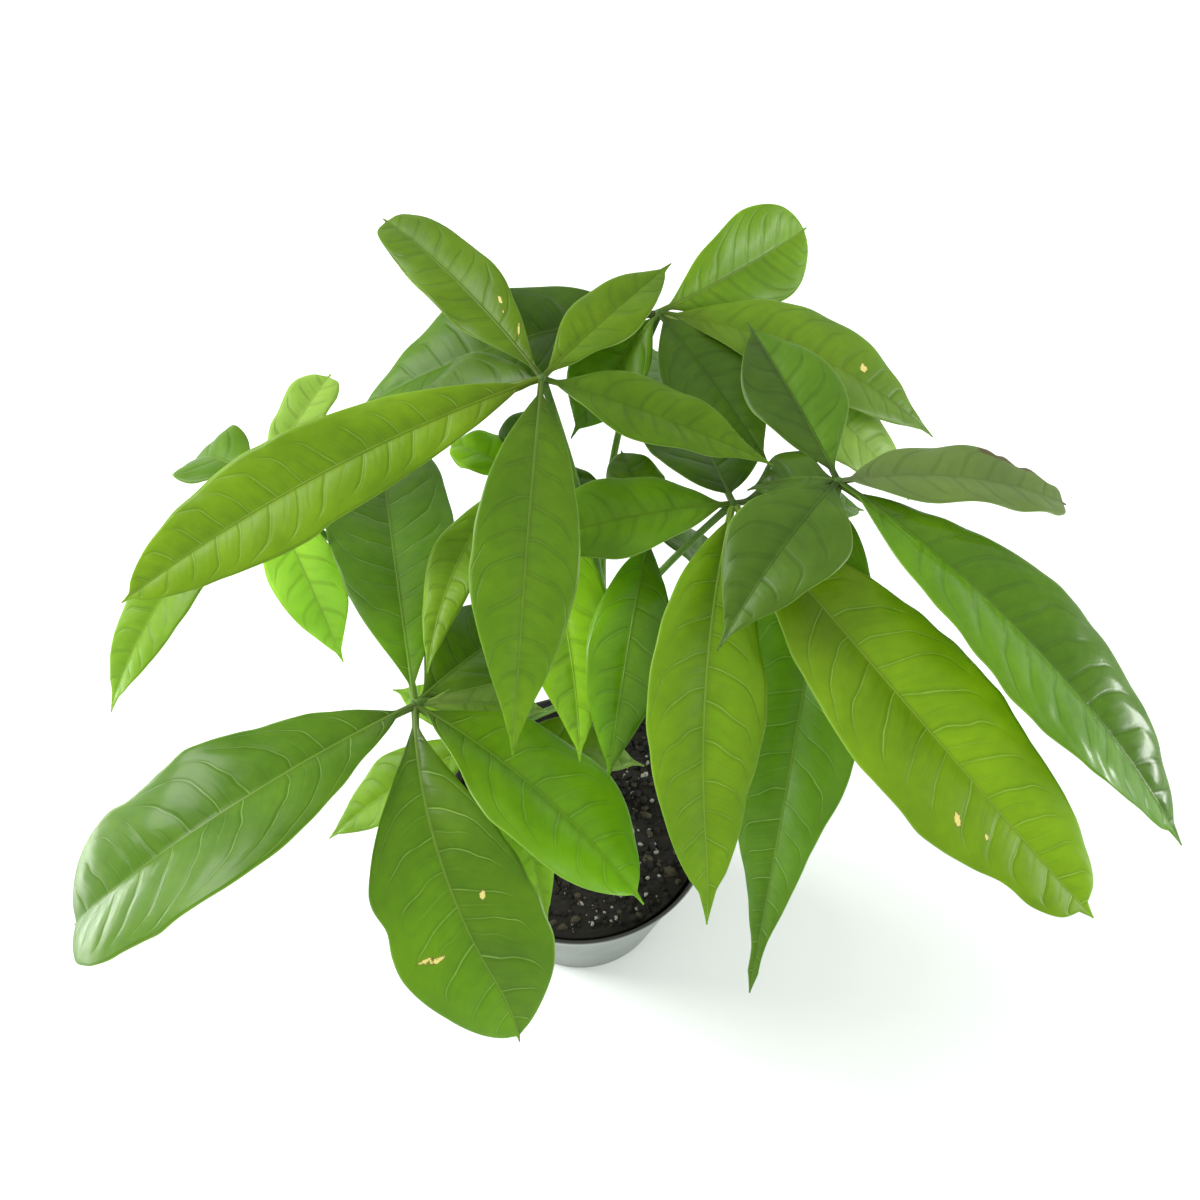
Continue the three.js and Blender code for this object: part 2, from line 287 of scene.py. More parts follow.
class Nodes:
    """Adds shader nodes to one tree, each wired or set as it is made."""

    def __init__(self, tree: bpy.types.NodeTree) -> None:
        """Works in that tree."""
        self.tree = tree

    def wire(self, node: bpy.types.Node, inputs: dict[str | int, object]) -> bpy.types.Node:
        """Feeds or sets a node's inputs.

        Args:
            node: The node.
            inputs: Socket name or number to a value, or to the socket that feeds it.

        Returns:
            The same node.
        """
        for key, value in inputs.items():
            if isinstance(value, bpy.types.NodeSocket):
                self.tree.links.new(value, node.inputs[key])
            else:
                node.inputs[key].default_value = value
        return node

    def add(
        self, kind: str, inputs: dict[str | int, object] | None = None, **settings: object
    ) -> bpy.types.Node:
        """Adds one node.

        Args:
            kind: The node's type without the word ShaderNode.
            inputs: Socket name or number to a value, or to the socket that feeds it.
            **settings: The node's own properties.

        Returns:
            The node.
        """
        node = self.tree.nodes.new("ShaderNode" + kind)
        for key, value in settings.items():
            setattr(node, key, value)
        return self.wire(node, inputs or {})

    def group(self, tree: bpy.types.NodeTree, inputs: dict[str | int, object]) -> bpy.types.Node:
        """Places a shared effect with its own values.

        Args:
            tree: The effect's group.
            inputs: Socket name to a value, or to the socket that feeds it.

        Returns:
            The group node.
        """
        node = self.tree.nodes.new("ShaderNodeGroup")
        node.node_tree = tree
        return self.wire(node, inputs)

    def mottle(
        self, tree: bpy.types.NodeTree, place: bpy.types.NodeSocket, grain: Grain
    ) -> bpy.types.NodeSocket:
        """Places the mottle effect.

        Args:
            tree: The effect's group.
            place: Where on the object.
            grain: Its scales and its strength.

        Returns:
            Its shade, round 0.
        """
        inputs = {"Place": place, "Broad": grain.broad, "Fine": grain.fine, "Strength": grain.strength}
        return self.group(tree, inputs).outputs["Shade"]

    def maths(self, operation: str, *values: object, clamp: bool = False) -> bpy.types.NodeSocket:
        """A Math node's result."""
        return self.add("Math", dict(enumerate(values)), operation=operation, use_clamp=clamp).outputs[0]

    def read(self, name: str) -> bpy.types.NodeSocket:
        """A value that the mesh carries under that name."""
        return self.add("Attribute", attribute_name=name).outputs["Fac"]

    def noise(self, place: bpy.types.NodeSocket, scale: object, detail: float = 3.0) -> bpy.types.NodeSocket:
        """Soft noise from 0 to 1 at a place."""
        return self.add("TexNoise", {"Vector": place, "Scale": scale, "Detail": detail}).outputs["Fac"]

    def ease(self, value: object, low: float, high: float) -> bpy.types.NodeSocket:
        """The share of the way from low to high, eased as in smooth.

        Args:
            value: What to ease.
            low: Where the result is 0.
            high: Where the result is 1; it may be below low.

        Returns:
            The share, from 0 to 1.
        """
        start, end, first, last = (low, high, 0.0, 1.0) if low < high else (high, low, 1.0, 0.0)
        bounds = {"Value": value, "From Min": start, "From Max": end, "To Min": first, "To Max": last}
        return self.add("MapRange", bounds, interpolation_type="SMOOTHSTEP").outputs["Result"]

    def blend(self, share: object, low: object, high: object, way: str = "MIX") -> bpy.types.NodeSocket:
        """Mixes two colours.

        Args:
            share: 0 gives low and 1 gives high.
            low: The first colour.
            high: The second colour.
            way: Blender's name for how they mix.

        Returns:
            The mixed colour.
        """
        low, high = ((*c, 1.0) if isinstance(c, tuple) and len(c) == 3 else c for c in (low, high))
        inputs = {"Factor": share, 6: low, 7: high}
        return self.add("Mix", inputs, data_type="RGBA", blend_type=way, clamp_factor=True).outputs[2]

    def darken(self, share: object, colour: object, factor: object) -> bpy.types.NodeSocket:
        """A colour multiplied by another one where the share is 1."""
        return self.blend(share, colour, self.blend(1.0, colour, factor, "MULTIPLY"))

    def bump(self, height: bpy.types.NodeSocket, strength: float, depth: float) -> bpy.types.NodeSocket:
        """The normal of a surface raised by a height, depth metres at height 1."""
        inputs = {"Height": height, "Strength": strength, "Distance": depth}
        return self.add("Bump", inputs).outputs["Normal"]


def open_material(name: str) -> tuple[bpy.types.Material, Nodes, bpy.types.NodeSocket]:
    """Starts a material, empty but for the node that reads the object's own coordinates.

    Args:
        name: The material's name.

    Returns:
        The material, its nodes and the place on the object.
    """
    material = bpy.data.materials.new(name)
    material.use_nodes = True
    nodes = Nodes(material.node_tree)
    nodes.tree.nodes.clear()
    return material, nodes, nodes.add("TexCoord").outputs["Object"]


class Effect:
    """A shader node group with named inputs and outputs, built once and used by several finishes."""

    def __init__(self, name: str, inputs: dict[str, float | None], outputs: Sequence[str]) -> None:
        """Opens the group.

        Args:
            name: The group's name.
            inputs: Input name to its default, or to None for a place.
            outputs: The names of the values that it puts out.
        """
        self.tree = bpy.data.node_groups.new(name, "ShaderNodeTree")
        for key, default in inputs.items():
            kind = "NodeSocketVector" if default is None else "NodeSocketFloat"
            socket = self.tree.interface.new_socket(key, in_out="INPUT", socket_type=kind)
            if default is not None:
                socket.default_value = default
        for key in outputs:
            self.tree.interface.new_socket(key, in_out="OUTPUT", socket_type="NodeSocketFloat")
        self.nodes = Nodes(self.tree)
        self.given = self.tree.nodes.new("NodeGroupInput").outputs
        self.out = self.tree.nodes.new("NodeGroupOutput").inputs

    def put(self, name: str, socket: bpy.types.NodeSocket) -> None:
        """Wires one of the outputs."""
        self.tree.links.new(socket, self.out[name])


def mottle_effect() -> bpy.types.NodeTree:
    """Broad and fine noise round 0, for the uneven colour that every grown or worn surface has.

    Returns:
        The group: Place, Broad scale, Fine scale and Strength in, Shade out.
    """
    inputs = {"Place": None, "Broad": 60.0, "Fine": 700.0, "Strength": 0.2}
    effect = Effect("mottle", inputs, ["Shade"])
    nodes, given = effect.nodes, effect.given
    broad = nodes.noise(given["Place"], given["Broad"])
    fine = nodes.noise(given["Place"], given["Fine"], 2.0)
    both = nodes.maths("MULTIPLY_ADD", fine, 0.5, nodes.maths("MULTIPLY_ADD", broad, 1.0, -0.75))
    effect.put("Shade", nodes.maths("MULTIPLY", both, given["Strength"]))
    return effect.tree


def vein_effect() -> bpy.types.NodeTree:
    """Side veins, the creases they lie in and the fine streaks that run beside them.

    A side vein runs where the rank is a whole number, a strong one at each even number and a weak
    one at each odd one. Its distance in millimetres is the rank's distance from it times the
    spacing. A random number drawn from that whole number sets how bright and long it is. A line
    is gone at 0.3 mm from its vein and a crease at 1.6 mm.

    Returns:
        The group: Rank, Spacing, Edge and Place in; Line, Crease and Streak out.
    """
    inputs = {"Rank": 0.0, "Spacing": 6.0, "Edge": 0.0, "Place": None}
    effect = Effect("veins", inputs, ["Line", "Crease", "Streak"])
    nodes, given = effect.nodes, effect.given
    line_edge, crease_edge, margin_gap = (0.3, 0.08), (1.6, 0.2), (0.02, -0.2)
    away = nodes.maths("MULTIPLY", nodes.maths("PINGPONG", given["Rank"], 0.5), given["Spacing"])
    own = nodes.maths("FLOOR", nodes.maths("ADD", given["Rank"], 0.5))
    strong = nodes.maths("SUBTRACT", 1.0, nodes.maths("PINGPONG", own, 1.0))
    luck = nodes.add("TexWhiteNoise", {"W": own}, noise_dimensions="1D").outputs["Value"]
    reach = nodes.maths("MULTIPLY_ADD", strong, 0.4, nodes.maths("MULTIPLY_ADD", luck, 0.3, 0.35))
    fade = nodes.ease(nodes.maths("SUBTRACT", given["Edge"], reach), *margin_gap)
    patchy = nodes.ease(nodes.noise(given["Place"], 150.0, 2.0), 0.3, 0.55)
    broken = nodes.maths("MULTIPLY_ADD", patchy, 0.5, 0.5)
    power = nodes.maths("MULTIPLY_ADD", strong, 0.6, nodes.maths("MULTIPLY_ADD", luck, 0.2, 0.08))
    line = nodes.maths("MULTIPLY", nodes.ease(away, *line_edge), nodes.maths("MULTIPLY", fade, broken))
    effect.put("Line", nodes.maths("MULTIPLY", line, power))
    depth = nodes.maths("MULTIPLY", fade, nodes.maths("MULTIPLY_ADD", strong, 0.6, 0.4))
    effect.put("Crease", nodes.maths("MULTIPLY", nodes.ease(away, *crease_edge), depth))
    across, outward = nodes.maths("MULTIPLY", given["Rank"], 4.0), nodes.maths("MULTIPLY", given["Edge"], 1.6)
    drawn = nodes.add("CombineXYZ", {0: across, 1: outward}).outputs[0]
    inside = nodes.ease(given["Edge"], 0.95, 0.6)
    swing = nodes.maths("SUBTRACT", nodes.noise(drawn, 1.0, 2.0), 0.5)
    effect.put("Streak", nodes.maths("MULTIPLY", inside, swing))
    return effect.tree


class Tone(Enum):
    """A leaflet's green, as (share of yellow in it, share of shade on it, share of painted sheen).

    The shade is partly the leaflet's own darker green and partly painted shade and painted light,
    for leaflets lit through, lit in the open or lying in the shadow of others; the painted sheen is
    the grey gloss of reflected light laid into the colour.
    """

    GLOWING = (0.6, 0.14, 0.04)
    SUNLIT = (0.8, 0.45, 0.0)
    BRIGHT = (0.6, 0.55, 0.0)
    FRESH = (0.25, 0.58, 0.0)
    OLIVE = (0.3, 0.68, 0.0)
    DEEP = (0.12, 0.74, 0.0)
    DUSK = (0.1, 0.92, 0.04)
    HAZY = (0.6, 0.5, 0.04)
    GREY = (0.7, 0.62, 0.24)
    PALE = (0.9, 0.16, 0.34)


@dataclass(frozen=True)
class BladeFinish:
    """A waxy leaf blade that lets some light through."""

    vein: bpy.types.NodeTree
    mottle: bpy.types.NodeTree
    cool: Colour = tint(128, 190, 22)
    warm: Colour = tint(152, 190, 18)
    darkest: float = 0.45
    # Painted sheen: the grey gloss of reflected light, laid into the colour.
    bloom: Colour = tint(150, 165, 122)
    pale: Colour = tint(178, 214, 104)
    # Painted shade: the darkening in the creases beside the side veins.
    crease: Colour = (0.74, 0.78, 0.7)
    under: Colour = tint(128, 172, 84)
    scar: Colour = tint(226, 212, 138)
    scar_rim: Colour = tint(104, 84, 30)
    scorch: Colour = tint(92, 84, 40)
    glow: Colour = (1.2, 1.3, 0.5)
    grain: Grain = Grain(38.0, 200.0, 0.42)
    skin_scale: float = 1300.0
    scar_scale: float = 900.0
    scorch_scale: float = 400.0
    # Painted sheen and shade along the streaks beside the side veins.
    streak_sheen_and_shade: float = 0.12
    mottle_shade: float = -0.7
    mottle_warmth: float = 1.3
    mottle_roughness: float = 0.3
    crease_shade_share: float = 0.7
    under_share: float = 0.3
    line_share: float = 0.8
    margin_share: float = 0.35
    scar_edge: tuple[float, float, float] = (0.74, 0.8, 0.9)
    scorch_edge: tuple[float, float] = (0.72, 0.92)
    crease_depth: float = -0.8
    skin_depth: float = 0.12
    streak_depth: float = 0.18
    roughness: float = 0.42
    gloss_effect: float = -0.15
    specular: float = 0.24
    coat: float = 0.25
    coat_roughness: float = 0.12
    relief: float = 0.0003
    through: float = 0.4

    def material(self) -> bpy.types.Material:
        """Builds the material.

        Returns:
            The blade's material, which reads the mesh's own values.
        """
        material, nodes, place = open_material("leaf_blade")
        edge = nodes.read("edge")
        ranks = {"Rank": nodes.read("rank"), "Spacing": nodes.read("spacing")}
        veins = nodes.group(self.vein, {**ranks, "Edge": edge, "Place": place}).outputs
        mottle = nodes.mottle(self.mottle, place, self.grain)
        green = self.add_flesh(nodes, veins, mottle)
        green = self.add_lines(nodes, green, veins, edge)
        green = self.add_wounds(nodes, green, place)
        height = nodes.maths("MULTIPLY", veins["Crease"], self.crease_depth)
        skin = nodes.noise(place, self.skin_scale)
        height = nodes.maths("MULTIPLY_ADD", skin, self.skin_depth, height)
        height = nodes.maths("MULTIPLY_ADD", veins["Streak"], self.streak_depth, height)
        normal = nodes.bump(height, 0.6, self.relief)
        gloss = nodes.read("gloss")
        rough = nodes.maths("MULTIPLY_ADD", mottle, self.mottle_roughness, self.roughness)
        wax = nodes.add(
            "BsdfPrincipled",
            {
                "Base Color": green,
                "Roughness": nodes.maths("MULTIPLY_ADD", gloss, self.gloss_effect, rough),
                "Specular IOR Level": self.specular,
                "Coat Weight": nodes.maths("MULTIPLY", gloss, self.coat),
                "Coat Roughness": self.coat_roughness,
                "Normal": normal,
            },
        )
        glow = nodes.blend(1.0, green, self.glow, "MULTIPLY")
        lit = nodes.add("BsdfTranslucent", {"Color": glow, "Normal": normal})
        mixed = nodes.add("MixShader", {0: self.through, 1: wax.outputs[0], 2: lit.outputs[0]})
        nodes.add("OutputMaterial", {"Surface": mixed.outputs[0]})
        return material

    def add_flesh(
        self, nodes: Nodes, veins: bpy.types.NodeOutputs, mottle: bpy.types.NodeSocket
    ) -> bpy.types.NodeSocket:
        """The green between the veins.

        It is dimmed by 1 minus (1 minus darkest) times shade, to the power of the display's gamma,
        so that shade goes in even steps to the eye. The shade is the leaflet's depth, partly its own
        green and partly painted shade, with random mottle and the streaks' painted sheen and shade
        added; the painted sheen then greys it.

        Args:
            nodes: The material's nodes.
            veins: What the vein effect puts out.
            mottle: The uneven shade.

        Returns:
            The colour.
        """
        warmth = nodes.maths("MULTIPLY_ADD", mottle, self.mottle_warmth, nodes.read("warmth"), clamp=True)
        green = nodes.blend(warmth, self.cool, self.warm)
        uneven = nodes.maths("MULTIPLY", mottle, self.mottle_shade)
        # Painted sheen and shade: the streaks lighten and darken the green as a quilted skin catching light
        # does.
        uneven = nodes.maths("MULTIPLY_ADD", veins["Streak"], self.streak_sheen_and_shade, uneven)
        shade = nodes.maths("ADD", nodes.read("depth"), uneven)
        left = nodes.maths("MULTIPLY_ADD", shade, self.darkest - 1.0, 1.0)
        dim = nodes.maths("POWER", left, DISPLAY_GAMMA)
        green = nodes.add("VectorMath", {0: green, "Scale": dim}, operation="SCALE").outputs[0]
        return nodes.blend(nodes.read("bloom"), green, self.bloom)

    def add_lines(
        self,
        nodes: Nodes,
        green: bpy.types.NodeSocket,
        veins: bpy.types.NodeOutputs,
        edge: bpy.types.NodeSocket,
    ) -> bpy.types.NodeSocket:
        """Painted shade in the vein creases, paler underside, side veins, midrib and thin pale margin.

        Args:
            nodes: The material's nodes.
            green: The colour so far.
            veins: What the vein effect puts out.
            edge: 0 at the midrib and 1 at the margin.

        Returns:
            The colour.
        """
        # Painted shade in the creases, where the side veins sink the blade.
        crease_shaded = nodes.maths("MULTIPLY", veins["Crease"], self.crease_shade_share)
        green = nodes.darken(crease_shaded, green, self.crease)
        below = nodes.maths("MULTIPLY", nodes.read("under"), self.under_share)
        green = nodes.blend(below, green, self.under)
        line = nodes.maths("MULTIPLY", veins["Line"], nodes.read("veined"))
        green = nodes.blend(nodes.maths("MULTIPLY", line, self.line_share), green, self.pale)
        green = nodes.blend(nodes.read("pale"), green, self.pale)
        margin = nodes.maths("MULTIPLY", nodes.ease(edge, 0.97, 1.0), self.margin_share)
        return nodes.blend(margin, green, self.pale)

    def add_wounds(
        self, nodes: Nodes, green: bpy.types.NodeSocket, place: bpy.types.NodeSocket
    ) -> bpy.types.NodeSocket:
        """Healed scars with their brown rims, and scorched margins, all ragged with noise.

        Args:
            nodes: The material's nodes.
            green: The colour so far.
            place: Where on the object.

        Returns:
            The colour.
        """
        ragged = nodes.maths("MULTIPLY_ADD", nodes.noise(place, self.scar_scale), 0.7, nodes.read("scar"))
        outer, inner, full = self.scar_edge
        green = nodes.blend(nodes.ease(ragged, outer, inner), green, self.scar_rim)
        green = nodes.blend(nodes.ease(ragged, inner, full), green, self.scar)
        burnt = nodes.maths("MULTIPLY_ADD", nodes.noise(place, self.scorch_scale), 0.6, nodes.read("scorch"))
        return nodes.blend(nodes.ease(burnt, *self.scorch_edge), green, self.scorch)


@dataclass(frozen=True)
class StemFinish:
    """A petiole or the trunk: fine streaks along it, paler where it is young."""

    name: str
    mottle: bpy.types.NodeTree
    young: Colour
    old: Colour
    roughness: float = 0.55
    relief: float = 0.0002
    grain: Grain = Grain(110.0, 900.0, 0.6)
    streak: Colour = (0.6, 0.6, 0.6)
    streak_scale: float = 1400.0
    streak_stretch: float = 0.12
    mottle_roughness: float = 0.3
    specular: float = 0.25

    def material(self) -> bpy.types.Material:
        """Builds the material.

        Returns:
            The stem's material; age 0 is young and 1 is old.
        """
        material, nodes, place = open_material(self.name)
        mottle = nodes.mottle(self.mottle, place, self.grain)
        age = nodes.maths("ADD", nodes.read("age"), mottle, clamp=True)
        drawn = nodes.add("Mapping", {"Vector": place, "Scale": (1.0, 1.0, self.streak_stretch)})
        streak = nodes.noise(drawn.outputs[0], self.streak_scale, 4.0)
        colour = nodes.blend(age, self.young, self.old)
        wax = nodes.add(
            "BsdfPrincipled",
            {
                "Base Color": nodes.darken(nodes.ease(streak, 0.5, 0.85), colour, self.streak),
                "Roughness": nodes.maths("MULTIPLY_ADD", mottle, self.mottle_roughness, self.roughness),
                "Specular IOR Level": self.specular,
                "Normal": nodes.bump(streak, 0.5, self.relief),
            },
        )
        nodes.add("OutputMaterial", {"Surface": wax.outputs[0]})
        return material


@dataclass(frozen=True)
class SoilFinish:
    """Damp potting mix: near-black peat, brown bark and off-white perlite, set by each crumb's kind."""

    mottle: bpy.types.NodeTree
    peat: Colour = tint(29, 27, 22)
    bark: Colour = tint(66, 60, 46)
    perlite: Colour = tint(150, 150, 140)
    damp: Colour = (0.62, 0.6, 0.56)
    damp_share: float = 0.5
    grain: Grain = Grain(300.0, 1800.0, 0.8)
    clod_scale: float = 2600.0
    mottle_roughness: float = 0.4
    roughness: float = 0.85
    relief: float = 0.0006
    specular: float = 0.3

    def material(self) -> bpy.types.Material:
        """Builds the material.

        Returns:
            The soil's material; kind 0 is peat, 0.5 bark and 1 perlite.
        """
        material, nodes, place = open_material("potting_mix")
        mottle = nodes.mottle(self.mottle, place, self.grain)
        kind = nodes.read("kind")
        woody = nodes.maths("ADD", nodes.ease(kind, 0.0, 0.5), mottle, clamp=True)
        earth = nodes.blend(woody, self.peat, self.bark)
        earth = nodes.blend(nodes.ease(kind, 0.7, 0.8), earth, self.perlite)
        wet = nodes.maths("MULTIPLY", nodes.ease(mottle, 0.02, 0.2), self.damp_share)
        crumb = nodes.add(
            "BsdfPrincipled",
            {
                "Base Color": nodes.darken(wet, earth, self.damp),
                "Roughness": nodes.maths("MULTIPLY_ADD", mottle, self.mottle_roughness, self.roughness),
                "Specular IOR Level": self.specular,
                "Normal": nodes.bump(nodes.noise(place, self.clod_scale, 5.0), 0.8, self.relief),
            },
        )
        nodes.add("OutputMaterial", {"Surface": crumb.outputs[0]})
        return material


@dataclass(frozen=True)
class PotFinish:
    """Moulded plastic: grey outside, near-black inside and along the rim."""

    mottle: bpy.types.NodeTree
    outside: Colour = tint(98, 107, 101)
    inside: Colour = tint(44, 42, 40)
    dust: Colour = (0.72, 0.7, 0.66)
    dust_share: float = 0.3
    grain: Grain = Grain(30.0, 500.0, 0.5)
    skin_scale: float = 2400.0
    mottle_roughness: float = 0.4
    roughness: float = 0.42
    relief: float = 0.0002
    specular: float = 0.5

    def material(self) -> bpy.types.Material:
        """Builds the material.

        Returns:
            The pot's material; inner 0 is the outside and 1 the inside.
        """
        material, nodes, place = open_material("pot_plastic")
        mottle = nodes.mottle(self.mottle, place, self.grain)
        colour = nodes.blend(nodes.ease(nodes.read("inner"), 0.35, 0.65), self.outside, self.inside)
        dusty = nodes.maths("MULTIPLY", nodes.ease(mottle, 0.0, 0.2), self.dust_share)
        plastic = nodes.add(
            "BsdfPrincipled",
            {
                "Base Color": nodes.darken(dusty, colour, self.dust),
                "Roughness": nodes.maths("MULTIPLY_ADD", mottle, self.mottle_roughness, self.roughness),
                "Specular IOR Level": self.specular,
                "Normal": nodes.bump(nodes.noise(place, self.skin_scale, 2.0), 0.15, self.relief),
            },
        )
        nodes.add("OutputMaterial", {"Surface": plastic.outputs[0]})
        return material


@dataclass(frozen=True)
class Mark:
    """A healed scar on a blade, with its place as shares across (-1 to 1) and along (0 to 1).

    Length and width are in mm, and slant is how far its length turns from the midrib, in degrees.
    """

    across: float
    along: float
    length: float = 5.0
    width: float = 3.0
    slant: float = 0.0

    def strength(self, along: np.ndarray, half: np.ndarray, share: np.ndarray, length: float) -> np.ndarray:
        """A hill of height 1 at the mark: e to the minus sum of the squared distances over its sizes.

        Args:
            along: Distance of each point from the hub, in mm.
            half: Half width there, in mm.
            share: Signed share of the half width.
            length: The blade's length, in mm.

        Returns:
            The height at every point.
        """
        ahead, aside = along - self.along * length, half * (share - self.across)
        slant = math.radians(self.slant)
        first = (ahead * math.cos(slant) + aside * math.sin(slant)) / self.length
        second = (aside * math.cos(slant) - ahead * math.sin(slant)) / self.width
        return np.exp(-(first**2) - second**2)


@dataclass(frozen=True)
class Dent:
    """A notch in a margin, or a bump where its depth is below 0.

    Side is -1 or 1, along is a share of the way to the tip, depth and length are in mm.
    """

    side: int
    along: float
    depth: float
    length: float


@dataclass(frozen=True)
class Leaflet:
    """One blade on an arc from its hub to its tip, sized as the frame's leaflet is.

    Turn is how far it bends down, lean tips the arc to its right, roll turns the blade about its
    midrib, all in degrees. Widest is where along it is broadest; base and apex are how quickly it
    narrows to each end. Shade adds to its tone's, fade adds more towards the tip, and the painted half
    shade more on its first half (share above 0) and less on the other. These three are partly the
    leaflet's own green and partly painted light and shade; the painted half shade stands for one half
    of the blade lit more than the other. Veined is how bright its side veins are, quilt how far it
    swells between them in mm, and rib how far its midrib is paler, or darker below 0. Tail is the drip
    tip's length and hook its bend sideways, in mm. Scorch 1 burns the most, and gloss 1 is the waxiest.
    """

    tip: Triple
    width: float
    tone: Tone = Tone.FRESH
    turn: float = 40.0
    lean: float = 0.0
    roll: float = 0.0
    widest: float = 0.5
    base: float = 1.2
    apex: float = 0.9
    shade: float = 0.0
    fade: float = 0.0
    painted_half_shade: float = 0.0
    veined: float = 0.5
    quilt: float = 0.35
    rib: float = 0.1
    tail: float = 5.0
    hook: float = 0.0
    scorch: float = 0.0
    gloss: float = 0.1
    marks: tuple[Mark, ...] = ()
    dents: tuple[Dent, ...] = ()

    stalk_share: float = 0.05
    stalk_half: float = 1.0
    tip_slope: float = 0.24
    tip_half: float = 0.3
    thickness: float = 0.5
    rib_lift: float = 0.4
    edge_drop: float = 0.27
    edge_thinning: float = 0.5
    first_column: float = 0.012
    row_gap: float = 1.4
    column_gap: float = 2.6
    wave: float = 1.2
    wave_count: float = 2.5
    wave_step: float = 2.4
    wave_lag: float = 1.3
    ripple: float = 0.6
    uneven: float = 0.06
    vein_gap: float = 6.2
    vein_lean: float = 0.24
    vein_curve: float = 0.38
    vein_loop: float = 0.6
    loop_start: float = 0.62
    vein_wander: float = 0.5
    vein_wiggle: float = 0.14
    rib_radius: float = 1.35
    rib_taper: float = 1.05
    rib_proud: float = 0.3
    rib_sides: int = 8
    rib_end: float = 0.985

    def frame_along(
        self, hub: np.ndarray, way: np.ndarray
    ) -> tuple[np.ndarray, np.ndarray, np.ndarray, float]:
        """The midrib's points with the directions across and out of the blade there.

        The arc's radius is half the span over the sine of half the turn; a point is the hub plus
        the radius times sine and cosine differences along and above the straight line to the tip.

        Args:
            hub: Where it starts, in mm.
            way: Shares of the way along it.

        Returns:
            Points, across and face directions, and the arc's length in mm.
        """
        chord = np.array(self.tip) - hub
        span = float(np.linalg.norm(chord))
        ahead = chord / span
        lean, turn = math.radians(self.lean), math.radians(self.turn)
        roll = math.radians(self.roll + self.lean)
        upright = unit(UP - ahead * ahead[2])
        bulge = upright * math.cos(lean) + np.cross(ahead, upright) * math.sin(lean)
        side = np.cross(ahead, bulge)
        radius = span / (2 * math.sin(turn / 2))
        angle = (turn * (0.5 - way))[:, None]
        forward = radius * (math.sin(turn / 2) - np.sin(angle)) * ahead
        points = hub + forward + radius * (np.cos(angle) - math.cos(turn / 2)) * bulge
        normal = np.cos(angle) * bulge - np.sin(angle) * ahead
        across = side * math.cos(roll) + normal * math.sin(roll)
        face = normal * math.cos(roll) - side * math.sin(roll)
        return points, across, face, radius * turn

    def half_width(self, way: np.ndarray, length: float) -> np.ndarray:
        """Half the blade's width along it.

        A sine rise to the widest place and a cosine fall from it, each to a power, end where the
        drip tip starts, a wedge whose half width is its slope times the distance to its point.
        The root of the sum of the squares joins blade, stalk and drip tip.

        Args:
            way: Shares of the way along it.
            length: The arc's length, in mm.

        Returns:
            The half widths, in mm.
        """
        end = 1 - self.tail / length
        x = np.clip((way - self.stalk_share) / (end - self.stalk_share), 0.0, 1.0)
        rise = np.sin(math.pi / 2 * np.clip(x / self.widest, 0, 1)) ** self.base
        fall = np.cos(math.pi / 2 * np.clip((x - self.widest) / (1 - self.widest), 0, 1)) ** self.apex
        blade = self.width / 2 * np.where(x < self.widest, rise, fall)
        stalk = self.stalk_half * (1 - smooth(0.0, 0.5, way))
        left = (1 - way) * length
        tapering, gone = 1.5 * self.tail, 5 * self.tail
        wedge = self.tip_slope * np.minimum(left, tapering) * (1 - smooth(tapering, gone, left))
        return np.sqrt(blade**2 + stalk**2 + wedge**2 + self.tip_half**2)

    def vein_rank(self, along: np.ndarray, share: np.ndarray, half: np.ndarray, number: int) -> np.ndarray:
        """Which side vein a point is on: whole numbers are veins, the even ones strong.

        A vein leans forward by a quarter of its distance from the midrib, more with the square of
        it, and loops forward to the next one over the last third of the half width.

        Args:
            along: Distance from the hub, in mm.
            share: Signed share of the half width.
            half: Half width there, in mm.
            number: The leaflet's number, which sets how its veins wander.

        Returns:
            The rank of every point; each leaflet has whole numbers of its own.
        """
        out = np.abs(share) * half
        side = np.sign(share) + 0 * along
        gap = self.vein_gap * (0.7 + 0.3 * min(self.width / 45, 1.3))
        broad = soft_noise(along / 17 + 7 * number, side * 3.3 + 0.5 + 0 * out, Seed.VEIN_WANDER)
        fine = soft_noise(along / 7 + 3 * number, out / 5 + 9 * number, Seed.VEIN_WIGGLE)
        bend = self.vein_lean * out + self.vein_curve * out**2 / np.maximum(half, 4.0)
        past = np.clip(np.abs(share) - self.loop_start, 0, 1) / (1 - self.loop_start)
        loop = self.vein_loop * half * past**2
        uneven = self.vein_wander * broad + self.vein_wiggle * fine
        return 60.0 * number + (along - bend - loop) / gap + 0.7 * (side > 0) + uneven

    def spine(self, hub: np.ndarray, way: np.ndarray) -> tuple[np.ndarray, np.ndarray, np.ndarray, float]:
        """The arc with the tip's sideways hook, which grows with the square of the last fifth.

        Args:
            hub: Where it starts, in mm.
            way: Shares of the way along it.

        Returns:
            Points, across and face directions, and the arc's length in mm.
        """
        points, across, face, length = self.frame_along(hub, way)
        aside = self.hook * np.clip((way - 0.8) / 0.2, 0, 1) ** 2
        return points + across * aside[:, None], across, face, length

